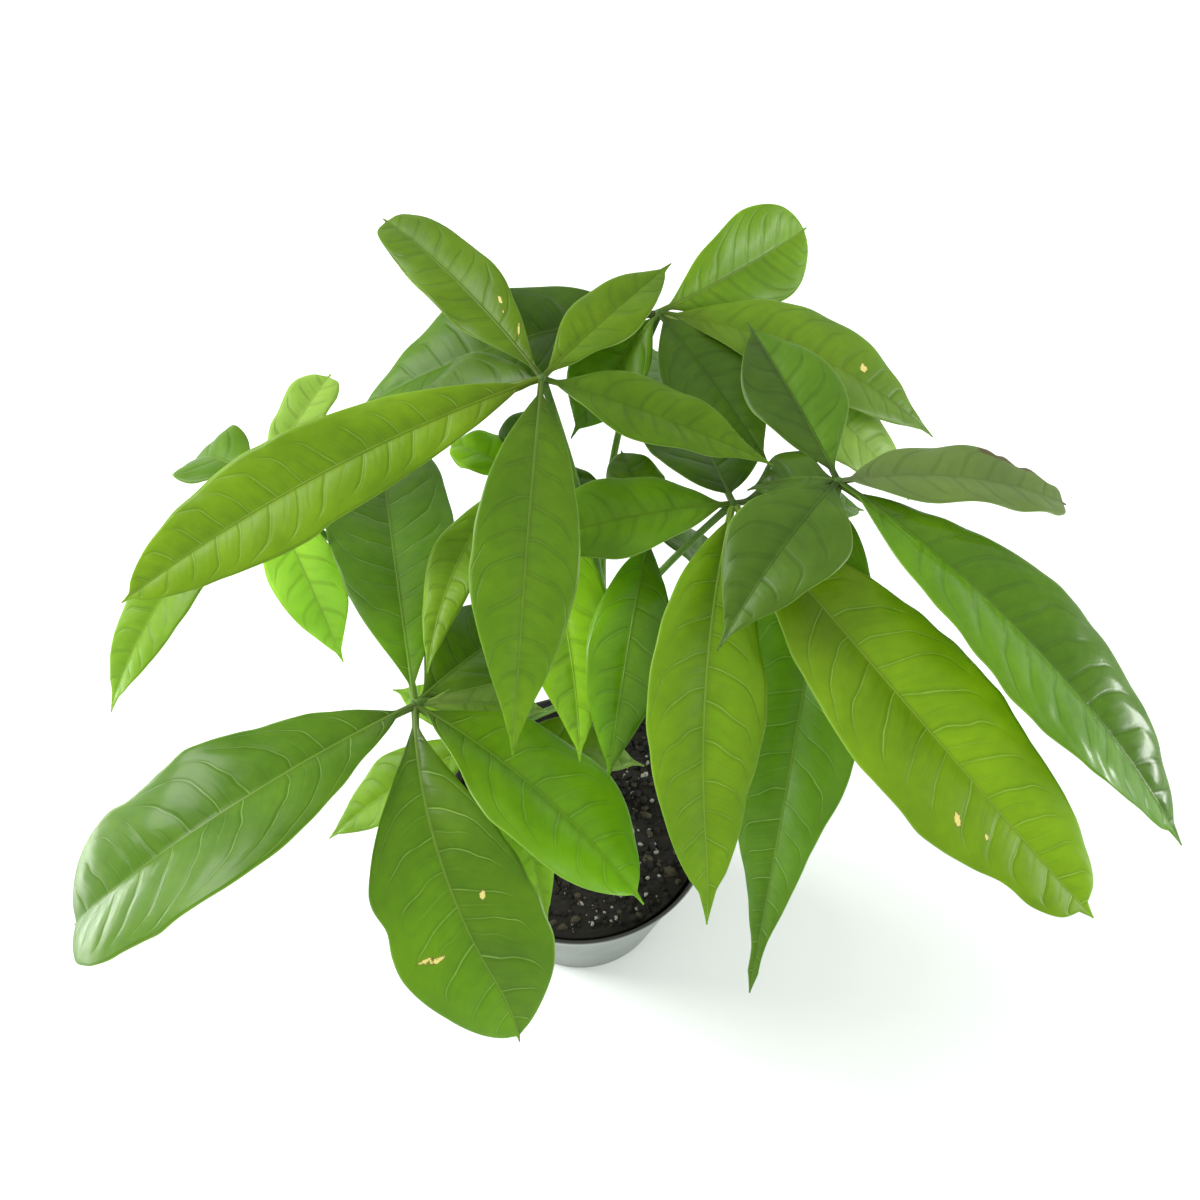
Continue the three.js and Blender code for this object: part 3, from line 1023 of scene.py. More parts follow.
    def add_to(self, draft: MeshDraft, hub: np.ndarray, number: int) -> None:
        """Adds the blade and its midrib.

        No column of points runs along the middle: the two next to it lie under the midrib, so that
        the veins of the two halves can meet it at different places.

        Args:
            draft: The mesh to add to.
            hub: Where it starts, in mm.
            number: Its number on the plant, which sets where its waves start.
        """
        length = self.frame_along(hub, np.array([0.0]))[3]
        rows = int(np.clip(length / self.row_gap, 30, 132))
        even = np.linspace(0.0, 1.0, rows)
        way = 0.6 * even + 0.2 * (1 - np.cos(math.pi * even))
        points, across, face, length = self.spine(hub, way)
        one_side = np.linspace(self.first_column, 1.0, int(np.clip(self.width / self.column_gap, 6, 19)))
        share = np.concatenate([-one_side[::-1], one_side])[None, :]
        t, along = way[:, None], way[:, None] * length
        half = self.half_width(way, length)[:, None]
        rank = self.vein_rank(along, share, half, number)
        reach = self.reach(t, along, share, half, number)
        lift = self.lift(t, along, share, half, rank, number)
        middle = points[:, None] + across[:, None] * reach[..., None] + face[:, None] * lift[..., None]
        thickness = self.thickness * (1 - self.edge_thinning * np.abs(share) ** 6)
        thick = face[:, None] * (thickness / 2)[..., None]
        rings = np.concatenate([middle + thick, (middle - thick)[:, ::-1]], axis=1)
        values = self.surface_values(t, along, share, half, rank)
        wide = {key: np.broadcast_to(value, middle.shape[:2]) for key, value in values.items()}
        both = {key: np.concatenate([value, value[:, ::-1]], axis=1) for key, value in wide.items()}
        columns = share.shape[1]
        lower = np.broadcast_to(np.repeat([0.0, 1.0], columns)[None, :], rings.shape[:2])
        draft.add(rings * MM, skin_faces(rows, 2 * columns), 0, under=lower, **both)
        self.add_rib(draft, points, face, way)

    def reach(
        self, t: np.ndarray, along: np.ndarray, share: np.ndarray, half: np.ndarray, number: int
    ) -> np.ndarray:
        """How far each point lies from the midrib.

        It is the share of the half width, made uneven by two sizes of noise along each margin, less
        the dents' hills, which grow with the share cubed.

        Args:
            t: Shares of the way along the blade.
            along: The same in mm.
            share: Signed shares of the half width.
            half: Half widths, in mm.
            number: The leaflet's number.

        Returns:
            Signed distances, in mm.
        """
        length, side = float(along[-1, 0]), np.sign(share) + 0 * t
        broad = soft_noise(along / 26 + 3 * number, side * 5.0, Seed.MARGIN)
        fine = soft_noise(along / 8, side * 5.0 + number, Seed.MARGIN_FINE)
        uneven = self.uneven * (broad + 0.3 * fine) * self.body(t)
        bite = sum(
            dent.depth * (side == dent.side) * np.exp(-(((along - dent.along * length) / dent.length) ** 2))
            for dent in self.dents
        )
        return (half * (1 + uneven) - bite * np.abs(share) ** 3) * share

    def lift(
        self,
        t: np.ndarray,
        along: np.ndarray,
        share: np.ndarray,
        half: np.ndarray,
        rank: np.ndarray,
        number: int,
    ) -> np.ndarray:
        """How high each point lies over the midrib's own surface.

        It is the half width times (lift |u| minus drop u squared) of the share u, plus the edge's
        sine waves, a finer ripple and the quilting, which swells between the strong side veins.

        Args:
            t: Shares of the way along the blade.
            along: The same in mm.
            share: Signed shares of the half width.
            half: Half widths, in mm.
            rank: Side vein ranks.
            number: The leaflet's number.

        Returns:
            Heights, in mm.
        """
        out, side = np.abs(share), np.sign(share) + 0 * t
        turn = 2 * math.pi * self.wave_count * t + self.wave_step * number
        sway = np.sin(turn + np.where(share > 0, self.wave_lag, 0.0))
        wave = self.wave * share**2 * np.sin(math.pi * t) * sway
        ripple = self.ripple * out**3 * soft_noise(along / 9 + number, side * 2.0, Seed.RIPPLE)
        plump = 1 + 0.6 * soft_noise(np.floor(rank / 2) * 0.73, side * 2.5, Seed.QUILT)
        swell = np.abs(np.sin(math.pi * rank / 2)) ** 0.8 * plump - 0.5
        inward = smooth(0.02, 0.25, out) * (1 - smooth(0.72, 1.0, out))
        gull = half * (self.rib_lift * out - self.edge_drop * share**2)
        return gull + wave + self.body(t) * (ripple + self.quilt * swell * inward)

    @staticmethod
    def body(t: np.ndarray) -> np.ndarray:
        """1 over the middle of the blade, eased to 0 at both ends, where it keeps its plain shape."""
        return smooth(0.06, 0.2, t) * (1 - smooth(0.88, 1.0, t))

    def surface_values(
        self, t: np.ndarray, along: np.ndarray, share: np.ndarray, half: np.ndarray, rank: np.ndarray
    ) -> dict[str, np.ndarray | float]:
        """What the blade's material reads at each point.

        Args:
            t: Shares of the way along the blade.
            along: The same in mm.
            share: Signed shares of the half width.
            half: Half widths, in mm.
            rank: Side vein ranks.

        Returns:
            Each value's name and its numbers.
        """
        length = float(along[-1, 0])
        warmth, depth, bloom = self.tone.value
        # Painted shade: the blade darkens over its first fifth, next to the hub.
        foot = 0.3 * (1 - smooth(0.0, 0.2, t))
        tip_burn = smooth(0.95, 1.0, t)
        margin_burn = 0.9 * smooth(0.45, 0.65, t) * smooth(0.6, 0.92, -share)
        return {
            "rank": rank,
            "spacing": self.vein_gap,
            "edge": np.abs(share),
            "warmth": warmth,
            # Depth is partly the leaflet's own green and partly painted light and shade, half shade included.
            "depth": depth + self.shade + self.fade * (t - 0.5) + self.painted_half_shade * np.sign(share) / 2 + foot,
            "bloom": bloom,
            "veined": self.veined,
            "gloss": self.gloss,
            "scar": sum(mark.strength(along, half, share, length) for mark in self.marks) + 0 * rank,
            "scorch": self.scorch * (tip_burn + margin_burn),
        }

    def add_rib(self, draft: MeshDraft, points: np.ndarray, face: np.ndarray, way: np.ndarray) -> None:
        """Adds the midrib: a tapering bar sunk in the blade, a little proud above and mostly below.

        Args:
            draft: The mesh to add to.
            points: The midrib's points, in mm.
            face: The directions out of the blade there.
            way: Shares of the way along it.
        """
        keep = way < self.rib_end
        taper = 0.55 + 0.45 * min(self.width / 40, 1.2)
        radius = (self.rib_radius - self.rib_taper * way**0.7)[keep] * taper
        proud = self.rib_proud * radius + 0.08
        path = points[keep] + face[keep] * (self.thickness / 2 + proud - radius)[:, None]
        rings = tube_rings(path, unit(np.gradient(path, axis=0)), radius, self.rib_sides)
        warmth, depth, bloom = self.tone.value
        # Painted shade: the midrib darkens next to the hub, as the blade does.
        foot = 0.35 * (1 - smooth(0.0, 0.14, way[keep]))
        shade = depth + self.shade + self.fade * (way[keep] - 0.5) - min(self.rib, 0.0) + foot
        draft.add(
            rings * MM,
            skin_faces(len(path), self.rib_sides),
            0,
            rank=0.5,
            spacing=self.vein_gap,
            warmth=warmth,
            depth=np.repeat(shade, self.rib_sides),
            bloom=bloom,
            pale=max(self.rib, 0.0),
            gloss=self.gloss,
        )


@dataclass
class CompoundLeaf:
    """A long petiole with leaflets spread round its hub, standing for one leaf of the frame."""

    name: str
    hub: Triple
    height: float
    bow: Triple
    leaflets: list[Leaflet]
    base_radius: float = 2.1
    neck_radius: float = 1.35
    foot_length: float = 0.16
    head_swell: float = 0.35
    head_length: float = 0.05
    hub_radius: float = 1.6
    hub_flatness: float = 0.75
    hub_uneven: float = 0.14
    age: float = 0.35
    rows: int = 48
    sides: int = 12
    knob_rows: int = 12
    knob_sides: int = 16

    def build(self, trunk: Trunk, first: int, materials: Sequence[bpy.types.Material]) -> bpy.types.Object:
        """Builds the leaf as one piece and rides it on the frame.

        Args:
            trunk: What the petiole grows from.
            first: Number of its first leaflet on the plant.
            materials: The blade's and the stem's material.

        Returns:
            The piece.
        """
        draft = MeshDraft()
        hub = np.array(self.hub)
        self.add_petiole(draft, trunk, hub)
        for number, leaflet in enumerate(self.leaflets, start=first):
            leaflet.add_to(draft, hub, number)
        piece = draft.build(f"{self.name}_fine", materials)
        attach(piece, "root")
        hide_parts(self.name)
        return piece

    def add_petiole(self, draft: MeshDraft, trunk: Trunk, hub: np.ndarray) -> None:
        """Adds the petiole with its swollen ends, and the knob that the leaflets meet on.

        Its radius is the neck's, plus a swelling that dies away from the trunk and a smaller one
        that grows towards the hub.

        Args:
            draft: The mesh to add to.
            trunk: What it grows from.
            hub: Where it ends, in mm.
        """
        start = trunk.point_at_height(self.height)
        way = np.linspace(0.0, 1.0, self.rows)
        path, along = bezier(start, (start + hub) / 2 + 2 * np.array(self.bow), hub, way)
        foot = (self.base_radius - self.neck_radius) * np.exp(-way / self.foot_length)
        head = self.head_swell * np.exp(-(1 - way) / self.head_length)
        rings = tube_rings(path, along, self.neck_radius + foot + head, self.sides)
        age = np.repeat(self.age + 0.5 * way**6, self.sides)
        draft.add(rings * MM, skin_faces(self.rows, self.sides), 1, age=age)
        rise = np.linspace(0.02, math.pi - 0.02, self.knob_rows)
        knob = hub - np.cos(rise)[:, None] * UP * self.hub_radius * self.hub_flatness
        turn = np.linspace(0.0, 2 * math.pi, self.knob_sides, endpoint=False)[None, :]
        east, north = 2.2 * np.cos(turn) + hub[0], 2.2 * np.sin(turn) + hub[1] + rise[:, None]
        uneven = 1 + self.hub_uneven * soft_noise(east, north, Seed.KNOB)
        radius = np.sin(rise)[:, None] * self.hub_radius * uneven
        rings = tube_rings(knob, np.tile(UP, (self.knob_rows, 1)), radius, self.knob_sides)
        # The knob takes age 1, the darkest stalk colour, so it is darker where the stalks meet.
        draft.add(rings * MM, skin_faces(self.knob_rows, self.knob_sides), 1, age=1.0)


@dataclass
class Trunk:
    """The one stem: a tapering bar along a gentle bend, ringed where leaves grew, with a bud on top."""

    foot: Triple = (0.0, 0.0, 46.0)
    bend: Triple = (4.0, 14.0, 135.0)
    top: Triple = (14.0, 42.0, 202.0)
    foot_radius: float = 8.5
    top_radius: float = 4.2
    length: float = 170.0
    bud_length: float = 7.0
    scars: tuple[float, ...] = (98.0, 109.0, 121.0, 134.0, 143.0)
    ring_height: float = 0.3
    ring_length: float = 1.3
    rough_share: float = 0.05
    fine_share: float = 0.014
    sides: int = 56
    rings: int = 190

    def point_at_height(self, height: float) -> np.ndarray:
        """The axis's point at a height, read off the bend.

        Args:
            height: The height, in mm.

        Returns:
            The point, in mm.
        """
        way = np.linspace(0.0, 1.0, 800)
        path, _ = bezier(*(np.array(p) for p in (self.foot, self.bend, self.top)), way)
        return np.array([np.interp(height, path[:, 2], path[:, k]) for k in range(3)])

    def build(self, heights: Sequence[float], material: bpy.types.Material) -> bpy.types.Object:
        """Builds the trunk as one piece and rides it on the frame.

        The radius tapers with the square of the way still to go, swells at each leaf's foot and at
        each old leaf scar, is roughened by noise drawn out along the stem, and closes over the bud
        as a quarter of an ellipse does.

        Args:
            heights: Where petioles grow from it, in mm.
            material: Its bark.

        Returns:
            The piece.
        """
        way = np.linspace(0.0, 1.0, self.rings)
        path, along = bezier(*(np.array(p) for p in (self.foot, self.bend, self.top)), way)
        taper = self.top_radius + (self.foot_radius - self.top_radius) * (1 - way) ** 2
        bud = self.bud_length / self.length
        past = np.clip((way - 1 + bud) / bud, 0, 1)
        dome = np.sqrt(np.maximum(1 - past**2, 0.03))
        z = path[:, 2:]
        ringed = sum(np.exp(-(((z - height) / self.ring_length) ** 2)) for height in (*heights, *self.scars))
        turn = np.linspace(0.0, 2 * math.pi, self.sides, endpoint=False)
        east, north = np.cos(turn) * 2.5 + 9, np.sin(turn) * 2.5 + 9
        rough = soft_noise(east + z / 19, north + z / 23, Seed.BARK)
        fine = soft_noise(turn[None] * 5, z / 3.5, Seed.BARK_FINE)
        uneven = 1 + self.rough_share * rough + self.fine_share * fine
        radius = (taper * dome)[:, None] * uneven + self.ring_height * ringed
        draft = MeshDraft()
        rings = tube_rings(path, along, radius, self.sides)
        age = np.clip(1.15 - way * 1.1, 0, 1)[:, None] + 0.3 * np.clip(ringed, 0, 1) + 0 * radius
        draft.add(rings * MM, skin_faces(self.rings, self.sides), 0, age=age)
        piece = draft.build("trunk_fine", [material])
        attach(piece, "root")
        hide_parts("trunk")
        return piece


@dataclass
class Pot:
    """A tapered moulded cup with a stepped band and a rolled rim."""

    height: float = 90.0
    rim_radius: float = 58.0
    base_radius: float = 38.5
    band_height: float = 11.0
    band_step: float = 1.2
    wall: float = 1.4
    floor: float = 2.0
    plate_margin: float = 6.0
    hole_count: int = 6
    hole_radius: float = 4.0
    hole_circle: float = 24.0
    hole_sides: int = 32
    sides: int = 192
    sharp_angle: float = 50.0

    def body_radius(self, z: float) -> float:
        """The outer wall's radius at a height, both in mm."""
        return self.base_radius + (self.rim_radius - self.band_step - self.base_radius) / self.height * z

    def profile(self) -> list[tuple[float, float, float]]:
        """The wall's section, from the underside up the outside, over the rim and down to the floor.

        Returns:
            Radius and height in mm, and how far each point is on the dark inner layer, 0 to 1.
        """
        foot, top = self.height - self.band_height, self.height
        r, base, rim = self.body_radius, self.base_radius, self.rim_radius
        step, wall = self.band_step, self.wall
        return [
            (base - self.plate_margin, 0.0, 0.0),
            (base - 1.4, 0.0, 0.0),
            (base - 0.5, 0.25, 0.0),
            (r(1.2), 1.2, 0.0),
            (r(6.0), 6.0, 0.0),
            (r(foot * 0.5), foot * 0.5, 0.0),
            (r(foot) - 0.05, foot - 1.0, 0.0),
            (r(foot) + 0.15, foot - 0.1, 0.0),
            (r(foot) + step * 0.8, foot + 0.35, 0.0),
            (r(foot) + step, foot + 0.9, 0.0),
            (rim - 0.35, top - 2.2, 0.0),
            (rim, top - 1.5, 0.0),
            (rim + 0.1, top - 0.8, 0.2),
            (rim - 0.25, top - 0.15, 0.9),
            (rim - 0.8, top, 1.0),
            (rim - wall, top - 0.3, 1.0),
            (rim - wall - 0.15, top - 1.4, 1.0),
            (r(foot) - wall + step, foot + 1.5, 1.0),
            (r(foot) - wall, foot, 1.0),
            (r(foot * 0.5) - wall, foot * 0.5, 1.0),
            (r(self.floor) - wall, self.floor, 1.0),
            (base - self.plate_margin, self.floor, 1.0),
        ]

    def build(self, material: bpy.types.Material) -> bpy.types.Object:
        """Builds the pot as one piece and rides it on the frame.

        The wall is its section carried round the axis. The floor is a disc whose drain holes are
        cut by a Boolean of short bars.

        Args:
            material: Its plastic.

        Returns:
            The piece.
        """
        section = np.array(self.profile())
        turn = np.linspace(0.0, 2 * math.pi, self.sides, endpoint=False)[:, None]
        radius, z, inner = section[None, :, 0], section[None, :, 1], section[None, :, 2]
        wall = np.stack([radius * np.cos(turn), radius * np.sin(turn), z + 0 * turn], axis=-1)
        count = len(section)
        ring, side = np.arange(self.sides)[:, None], np.arange(count - 1)[None, :]
        here, there = ring * count + side, (ring + 1) % self.sides * count + side
        faces = np.stack([here, there, there + 1, here + 1], axis=-1).reshape(-1, 4)
        ends = np.arange(self.sides) * count
        mesh = bpy.data.meshes.new("pot_fine")
        plates = [list(map(int, ends)), list(map(int, ends[::-1] + count - 1))]
        mesh.from_pydata((wall.reshape(-1, 3) * MM).tolist(), [], faces.tolist() + plates)
        attribute = mesh.attributes.new("inner", "FLOAT", "POINT")
        attribute.data.foreach_set("value", (inner + 0 * turn).astype(np.float32).ravel())
        mesh.materials.append(material)
        piece = bpy.data.objects.new("pot_fine", mesh)
        bpy.context.scene.collection.objects.link(piece)
        self.turn_outwards(mesh)
        self.cut_holes(piece)
        mesh = piece.data
        mesh.polygons.foreach_set("use_smooth", np.ones(len(mesh.polygons), dtype=bool))
        mesh.set_sharp_from_angle(angle=math.radians(self.sharp_angle))
        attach(piece, "root")
        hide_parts("pot")
        return piece

    @staticmethod
    def turn_outwards(mesh: bpy.types.Mesh) -> None:
        """Makes a closed mesh's faces point outwards.

        Args:
            mesh: The mesh, which is changed in place.
        """
        work = bmesh.new()
        work.from_mesh(mesh)
        bmesh.ops.recalc_face_normals(work, faces=work.faces)
        work.to_mesh(mesh)
        work.free()

    def cut_holes(self, piece: bpy.types.Object) -> None:
        """Cuts the ring of drain holes through the floor and applies the cut.

        Args:
            piece: The pot, which gets the cut mesh.
        """
        draft = MeshDraft()
        for angle in 2 * math.pi * np.arange(self.hole_count) / self.hole_count:
            spot = np.array([math.cos(angle), math.sin(angle), 0.0]) * self.hole_circle
            path = spot + UP * np.array([-2 * self.floor, 3 * self.floor])[:, None]
            rings = tube_rings(path, np.tile(UP, (2, 1)), np.full(2, self.hole_radius), self.hole_sides)
            draft.add(rings * MM, skin_faces(2, self.hole_sides))
        cutter = draft.build("drain_holes", [])
        cut = piece.modifiers.new("holes", "BOOLEAN")
        cut.operation, cut.solver, cut.object = "DIFFERENCE", "EXACT", cutter
        bpy.context.view_layer.update()
        done = bpy.data.meshes.new_from_object(piece.evaluated_get(bpy.context.evaluated_depsgraph_get()))
        piece.modifiers.clear()
        piece.data = done
        bpy.data.objects.remove(cutter, do_unlink=True)


@dataclass(frozen=True)
class Grit:
    """Lumps strewn over the soil: how many, their radii in mm, their kind and their height over width.

    Kind is 0 for peat, 0.5 for bark and 1 for perlite. Small lumps are the commoner ones.
    """

    count: int
    smallest: float
    largest: float
    kind: float
    flatness: float


@dataclass
class SoilBed:
    """Potting mix that fills the pot: a rough crowned top strewn with crumbs, bark and perlite."""

    pot: Pot
    crown: float = 86.5
    edge: float = 84.0
    clearance: float = 0.3
    relief: float = 0.75
    clod_share: float = 0.6
    grain_share: float = 0.45
    bare_edge: float = 2.5
    grits: tuple[Grit, ...] = (
        Grit(950, 0.7, 2.2, 0.0, 0.75),
        Grit(150, 1.2, 3.6, 0.5, 0.45),
        Grit(300, 0.3, 1.5, 1.0, 0.7),
    )
    sides: int = 288
    rows: int = 64
    lump_uneven: float = 0.38
    narrowest: float = 0.55
    tilt_spread: float = 0.35
    kind_spread: float = 0.12

    def surface(self, x: np.ndarray, y: np.ndarray) -> np.ndarray:
        """The top's height: the crown less its drop times the square of the way out, plus noise.

        Args:
            x: Places to the right of the axis, in mm.
            y: Places behind the axis, in mm.

        Returns:
            Heights, in mm.
        """
        out = np.hypot(x, y) / self.reach()
        hills = soft_noise(x / 9 + 20, y / 9 + 20, Seed.SOIL_HILLS)
        clods = self.clod_share * soft_noise(x / 3.4 + 5, y / 3.4 + 5, Seed.SOIL_CLODS)
        grain = self.grain_share * soft_noise(x / 1.3 + 30, y / 1.3 + 30, Seed.SOIL_GRAIN)
        return self.crown - (self.crown - self.edge) * out**2 + self.relief * (hills + clods + grain)

    def reach(self) -> float:
        """The top's radius, in mm."""
        return self.pot.body_radius(self.edge) - self.pot.wall - self.clearance

    def build(self, material: bpy.types.Material) -> bpy.types.Object:
        """Builds the soil as one piece and rides it on the frame.

        Args:
            material: The potting mix.

        Returns:
            The piece.
        """
        draft = MeshDraft()
        self.add_body(draft)
        rng = np.random.default_rng(Seed.CRUMBS)
        for grit in self.grits:
            self.strew(draft, rng, grit)
        piece = draft.build("soil_fine", [material])
        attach(piece, "root")
        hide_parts("soil")
        return piece

    def add_body(self, draft: MeshDraft) -> None:
        """Adds the bed: rings round the axis, from the underside's middle up the wall and in over the top.

        Args:
            draft: The mesh to add to.
        """
        inner = self.pot.body_radius
        shrink = self.pot.wall + self.clearance
        low = self.pot.floor + self.clearance
        turn = np.linspace(0.0, 2 * math.pi, self.sides, endpoint=False)[None, :]
        share = np.linspace(1.0, 0.004, self.rows)[:, None] ** 0.9
        x, y = self.reach() * share * np.cos(turn), self.reach() * share * np.sin(turn)
        settled = smooth(1.0, 0.93, share)
        top = np.stack([x, y, self.edge * (1 - settled) + self.surface(x, y) * settled], axis=-1)
        halfway = self.pot.height / 2
        outline = [(0.05, low), (inner(low) - shrink, low), (inner(halfway) - shrink, halfway)]
        radius, z = np.array(outline).T[..., None]
        wall = np.stack([radius * np.cos(turn), radius * np.sin(turn), z + 0 * turn], axis=-1)
        rings = np.concatenate([wall, top])
        draft.add(rings * MM, skin_faces(len(rings), self.sides), 0, kind=0.0)

    def strew(self, draft: MeshDraft, rng: np.random.Generator, grit: Grit) -> None:
        """Strews lumps over the top, each a small ball with its points pushed in and out at random.

        Args:
            draft: The mesh to add to.
            rng: Where the random numbers come from.
            grit: The lumps.
        """
        ball = bmesh.new()
        bmesh.ops.create_icosphere(ball, subdivisions=1, radius=1.0)
        shape = np.array([v.co[:] for v in ball.verts])
        faces = np.array([[v.index for v in f.verts] for f in ball.faces])
        ball.free()
        count = grit.count
        radius = grit.smallest + (grit.largest - grit.smallest) * rng.random(count) ** 2.4
        out = (self.reach() - self.bare_edge) * np.sqrt(rng.uniform(0.03, 1.0, count))
        turn = rng.uniform(0, 2 * math.pi, count)
        x, y = out * np.cos(turn), out * np.sin(turn)
        uneven = rng.uniform(-self.lump_uneven, self.lump_uneven, (count, len(shape), 1))
        points = shape[None] * (1 + uneven)
        narrow, flat = rng.uniform(self.narrowest, 1, count), np.full(count, grit.flatness)
        points *= radius[:, None, None] * np.stack([np.ones(count), narrow, flat], axis=-1)[:, None]
        spin = rng.uniform(0, 2 * math.pi, count)[:, None]
        tilt = rng.normal(0, self.tilt_spread, count)[:, None]
        px, py, pz = points[..., 0], points[..., 1], points[..., 2]
        px, pz = px * np.cos(tilt) - pz * np.sin(tilt), px * np.sin(tilt) + pz * np.cos(tilt)
        px, py = px * np.cos(spin) - py * np.sin(spin), px * np.sin(spin) + py * np.cos(spin)
        centre = self.surface(x, y) + 0.25 * radius * grit.flatness
        placed = np.stack([px + x[:, None], py + y[:, None], pz + centre[:, None]], axis=-1)
        stride = (np.arange(count) * len(shape))[:, None, None]
        mixed = grit.kind == 0.5
        varied = rng.uniform(-self.kind_spread, self.kind_spread, count) if mixed else np.zeros(count)
        kind = grit.kind + varied
        draft.add(placed * MM, (faces[None] + stride).reshape(-1, 3), 0, kind=np.repeat(kind, len(shape)))


@dataclass(frozen=True)
class Panel:
    """A soft white lamp: its place, width and height in metres, watts, and the point that it faces.

    Beam is the whole angle that it shines into, in degrees.
    """

    name: str
    place: Triple
    size: tuple[float, float]
    power: float
    aim: Triple
    beam: float = 180.0

    def build(self) -> None:
        """Makes the lamp, turned so that its -Z points at its aim."""
        data = bpy.data.lights.new(self.name, "AREA")
        data.shape, data.energy, data.spread = "RECTANGLE", self.power, math.radians(self.beam)
        data.size, data.size_y = self.size
        lamp = bpy.data.objects.new(self.name, data)
        lamp.location = self.place
        towards = np.array(self.aim) - np.array(self.place)
        tilt = math.acos(-towards[2] / np.linalg.norm(towards))
        lamp.rotation_euler = (tilt, 0.0, math.atan2(towards[1], towards[0]) - math.pi / 2)
        bpy.context.scene.collection.objects.link(lamp)


@dataclass
class Studio:
    """The camera, a pale floor, bright white light from all round and three soft panels."""

    camera_place: Triple = (0.009, -0.265, 0.688)
    camera_tilt: float = 32.0
    lens: float = 45.0
    sensor: float = 36.0
    floor_size: float = 9.0
    floor_colour: Colour = (0.84, 0.87, 0.84)
    floor_roughness: float = 0.7
    floor_specular: float = 0.2
    sky_colour: Colour = (0.98, 1.0, 1.0)
    overhead: float = 1.0
    horizon_extra: float = 0.8
    panels: tuple[Panel, ...] = (
        Panel("window_right", (1.9, -0.1, 0.48), (0.9, 0.22), 24.0, (0.0, 0.0, 0.15)),
        Panel("ceiling", (-1.6, 0.45, 1.35), (1.1, 1.1), 58.0, (0.0, 0.0, 0.15)),
        Panel("floor_left", (-0.72, 0.14, 0.3), (0.3, 0.22), 34.0, (-0.72, 0.14, 0.0), 70.0),
    )

    def build(self) -> None:
        """Makes the camera, the floor, the sky and the lamps."""
        scene = bpy.context.scene
        data = bpy.data.cameras.new("view")
        data.lens, data.sensor_width, data.clip_start = self.lens, self.sensor, 0.01
        camera = bpy.data.objects.new("view", data)
        camera.location = self.camera_place
        camera.rotation_euler = (math.radians(self.camera_tilt), 0.0, 0.0)
        scene.collection.objects.link(camera)
        scene.camera = camera
        scene.view_settings.view_transform = "Standard"
        self.add_floor()
        self.add_sky()
        for panel in self.panels:
            panel.build()

    def add_floor(self) -> None:
        """Adds the white floor."""
        half = self.floor_size / 2
        mesh = bpy.data.meshes.new("floor")
        corners = [(-half, -half, 0.0), (half, -half, 0.0), (half, half, 0.0), (-half, half, 0.0)]
        mesh.from_pydata(corners, [], [(0, 1, 2, 3)])
        material = bpy.data.materials.new("floor_white")
        material.use_nodes = True
        shader = material.node_tree.nodes["Principled BSDF"]
        shader.inputs["Base Color"].default_value = (*self.floor_colour, 1.0)
        shader.inputs["Roughness"].default_value = self.floor_roughness
        shader.inputs["Specular IOR Level"].default_value = self.floor_specular
        mesh.materials.append(material)
        floor = bpy.data.objects.new("floor", mesh)
        bpy.context.scene.collection.objects.link(floor)

    def add_sky(self) -> None:
        """Lights the room: white all round, brighter just above the horizon."""
        world = bpy.data.worlds.new("room")
        bpy.context.scene.world = world
        world.use_nodes = True
        nodes = Nodes(world.node_tree)
        nodes.tree.nodes.clear()
        place = nodes.add("TexCoord").outputs["Generated"]
        height = nodes.add("SeparateXYZ", {0: place}).outputs["Z"]
        low = nodes.maths("MULTIPLY", nodes.ease(height, 0.3, 0.06), nodes.ease(height, -0.1, 0.02))
        strength = nodes.maths("MULTIPLY_ADD", low, self.horizon_extra, self.overhead)
        backdrop = nodes.add("Background", {"Color": (*self.sky_colour, 1.0), "Strength": strength})
        nodes.add("OutputWorld", {"Surface": backdrop.outputs[0]})


@dataclass
class MoneyTree:
    """The whole plant: nine compound leaves on one trunk."""

    trunk: Trunk = field(default_factory=Trunk)
    leaves: list[CompoundLeaf] = field(default_factory=list)

    def build(self, blade: bpy.types.Material, stem: bpy.types.Material, bark: bpy.types.Material) -> None:
        """Builds the trunk and every leaf.

        Args:
            blade: The leaf blades' and midribs' material.
            stem: The petioles' and hubs' material.
            bark: The trunk's material.
        """
        self.trunk.build([leaf.height for leaf in self.leaves], bark)
        LOG.info("trunk: built")
        first = 0
        for leaf in self.leaves:
            piece = leaf.build(self.trunk, first, [blade, stem])
            first += len(leaf.leaflets)
            LOG.info("%s: %d leaflets, %d faces", leaf.name, len(leaf.leaflets), len(piece.data.polygons))


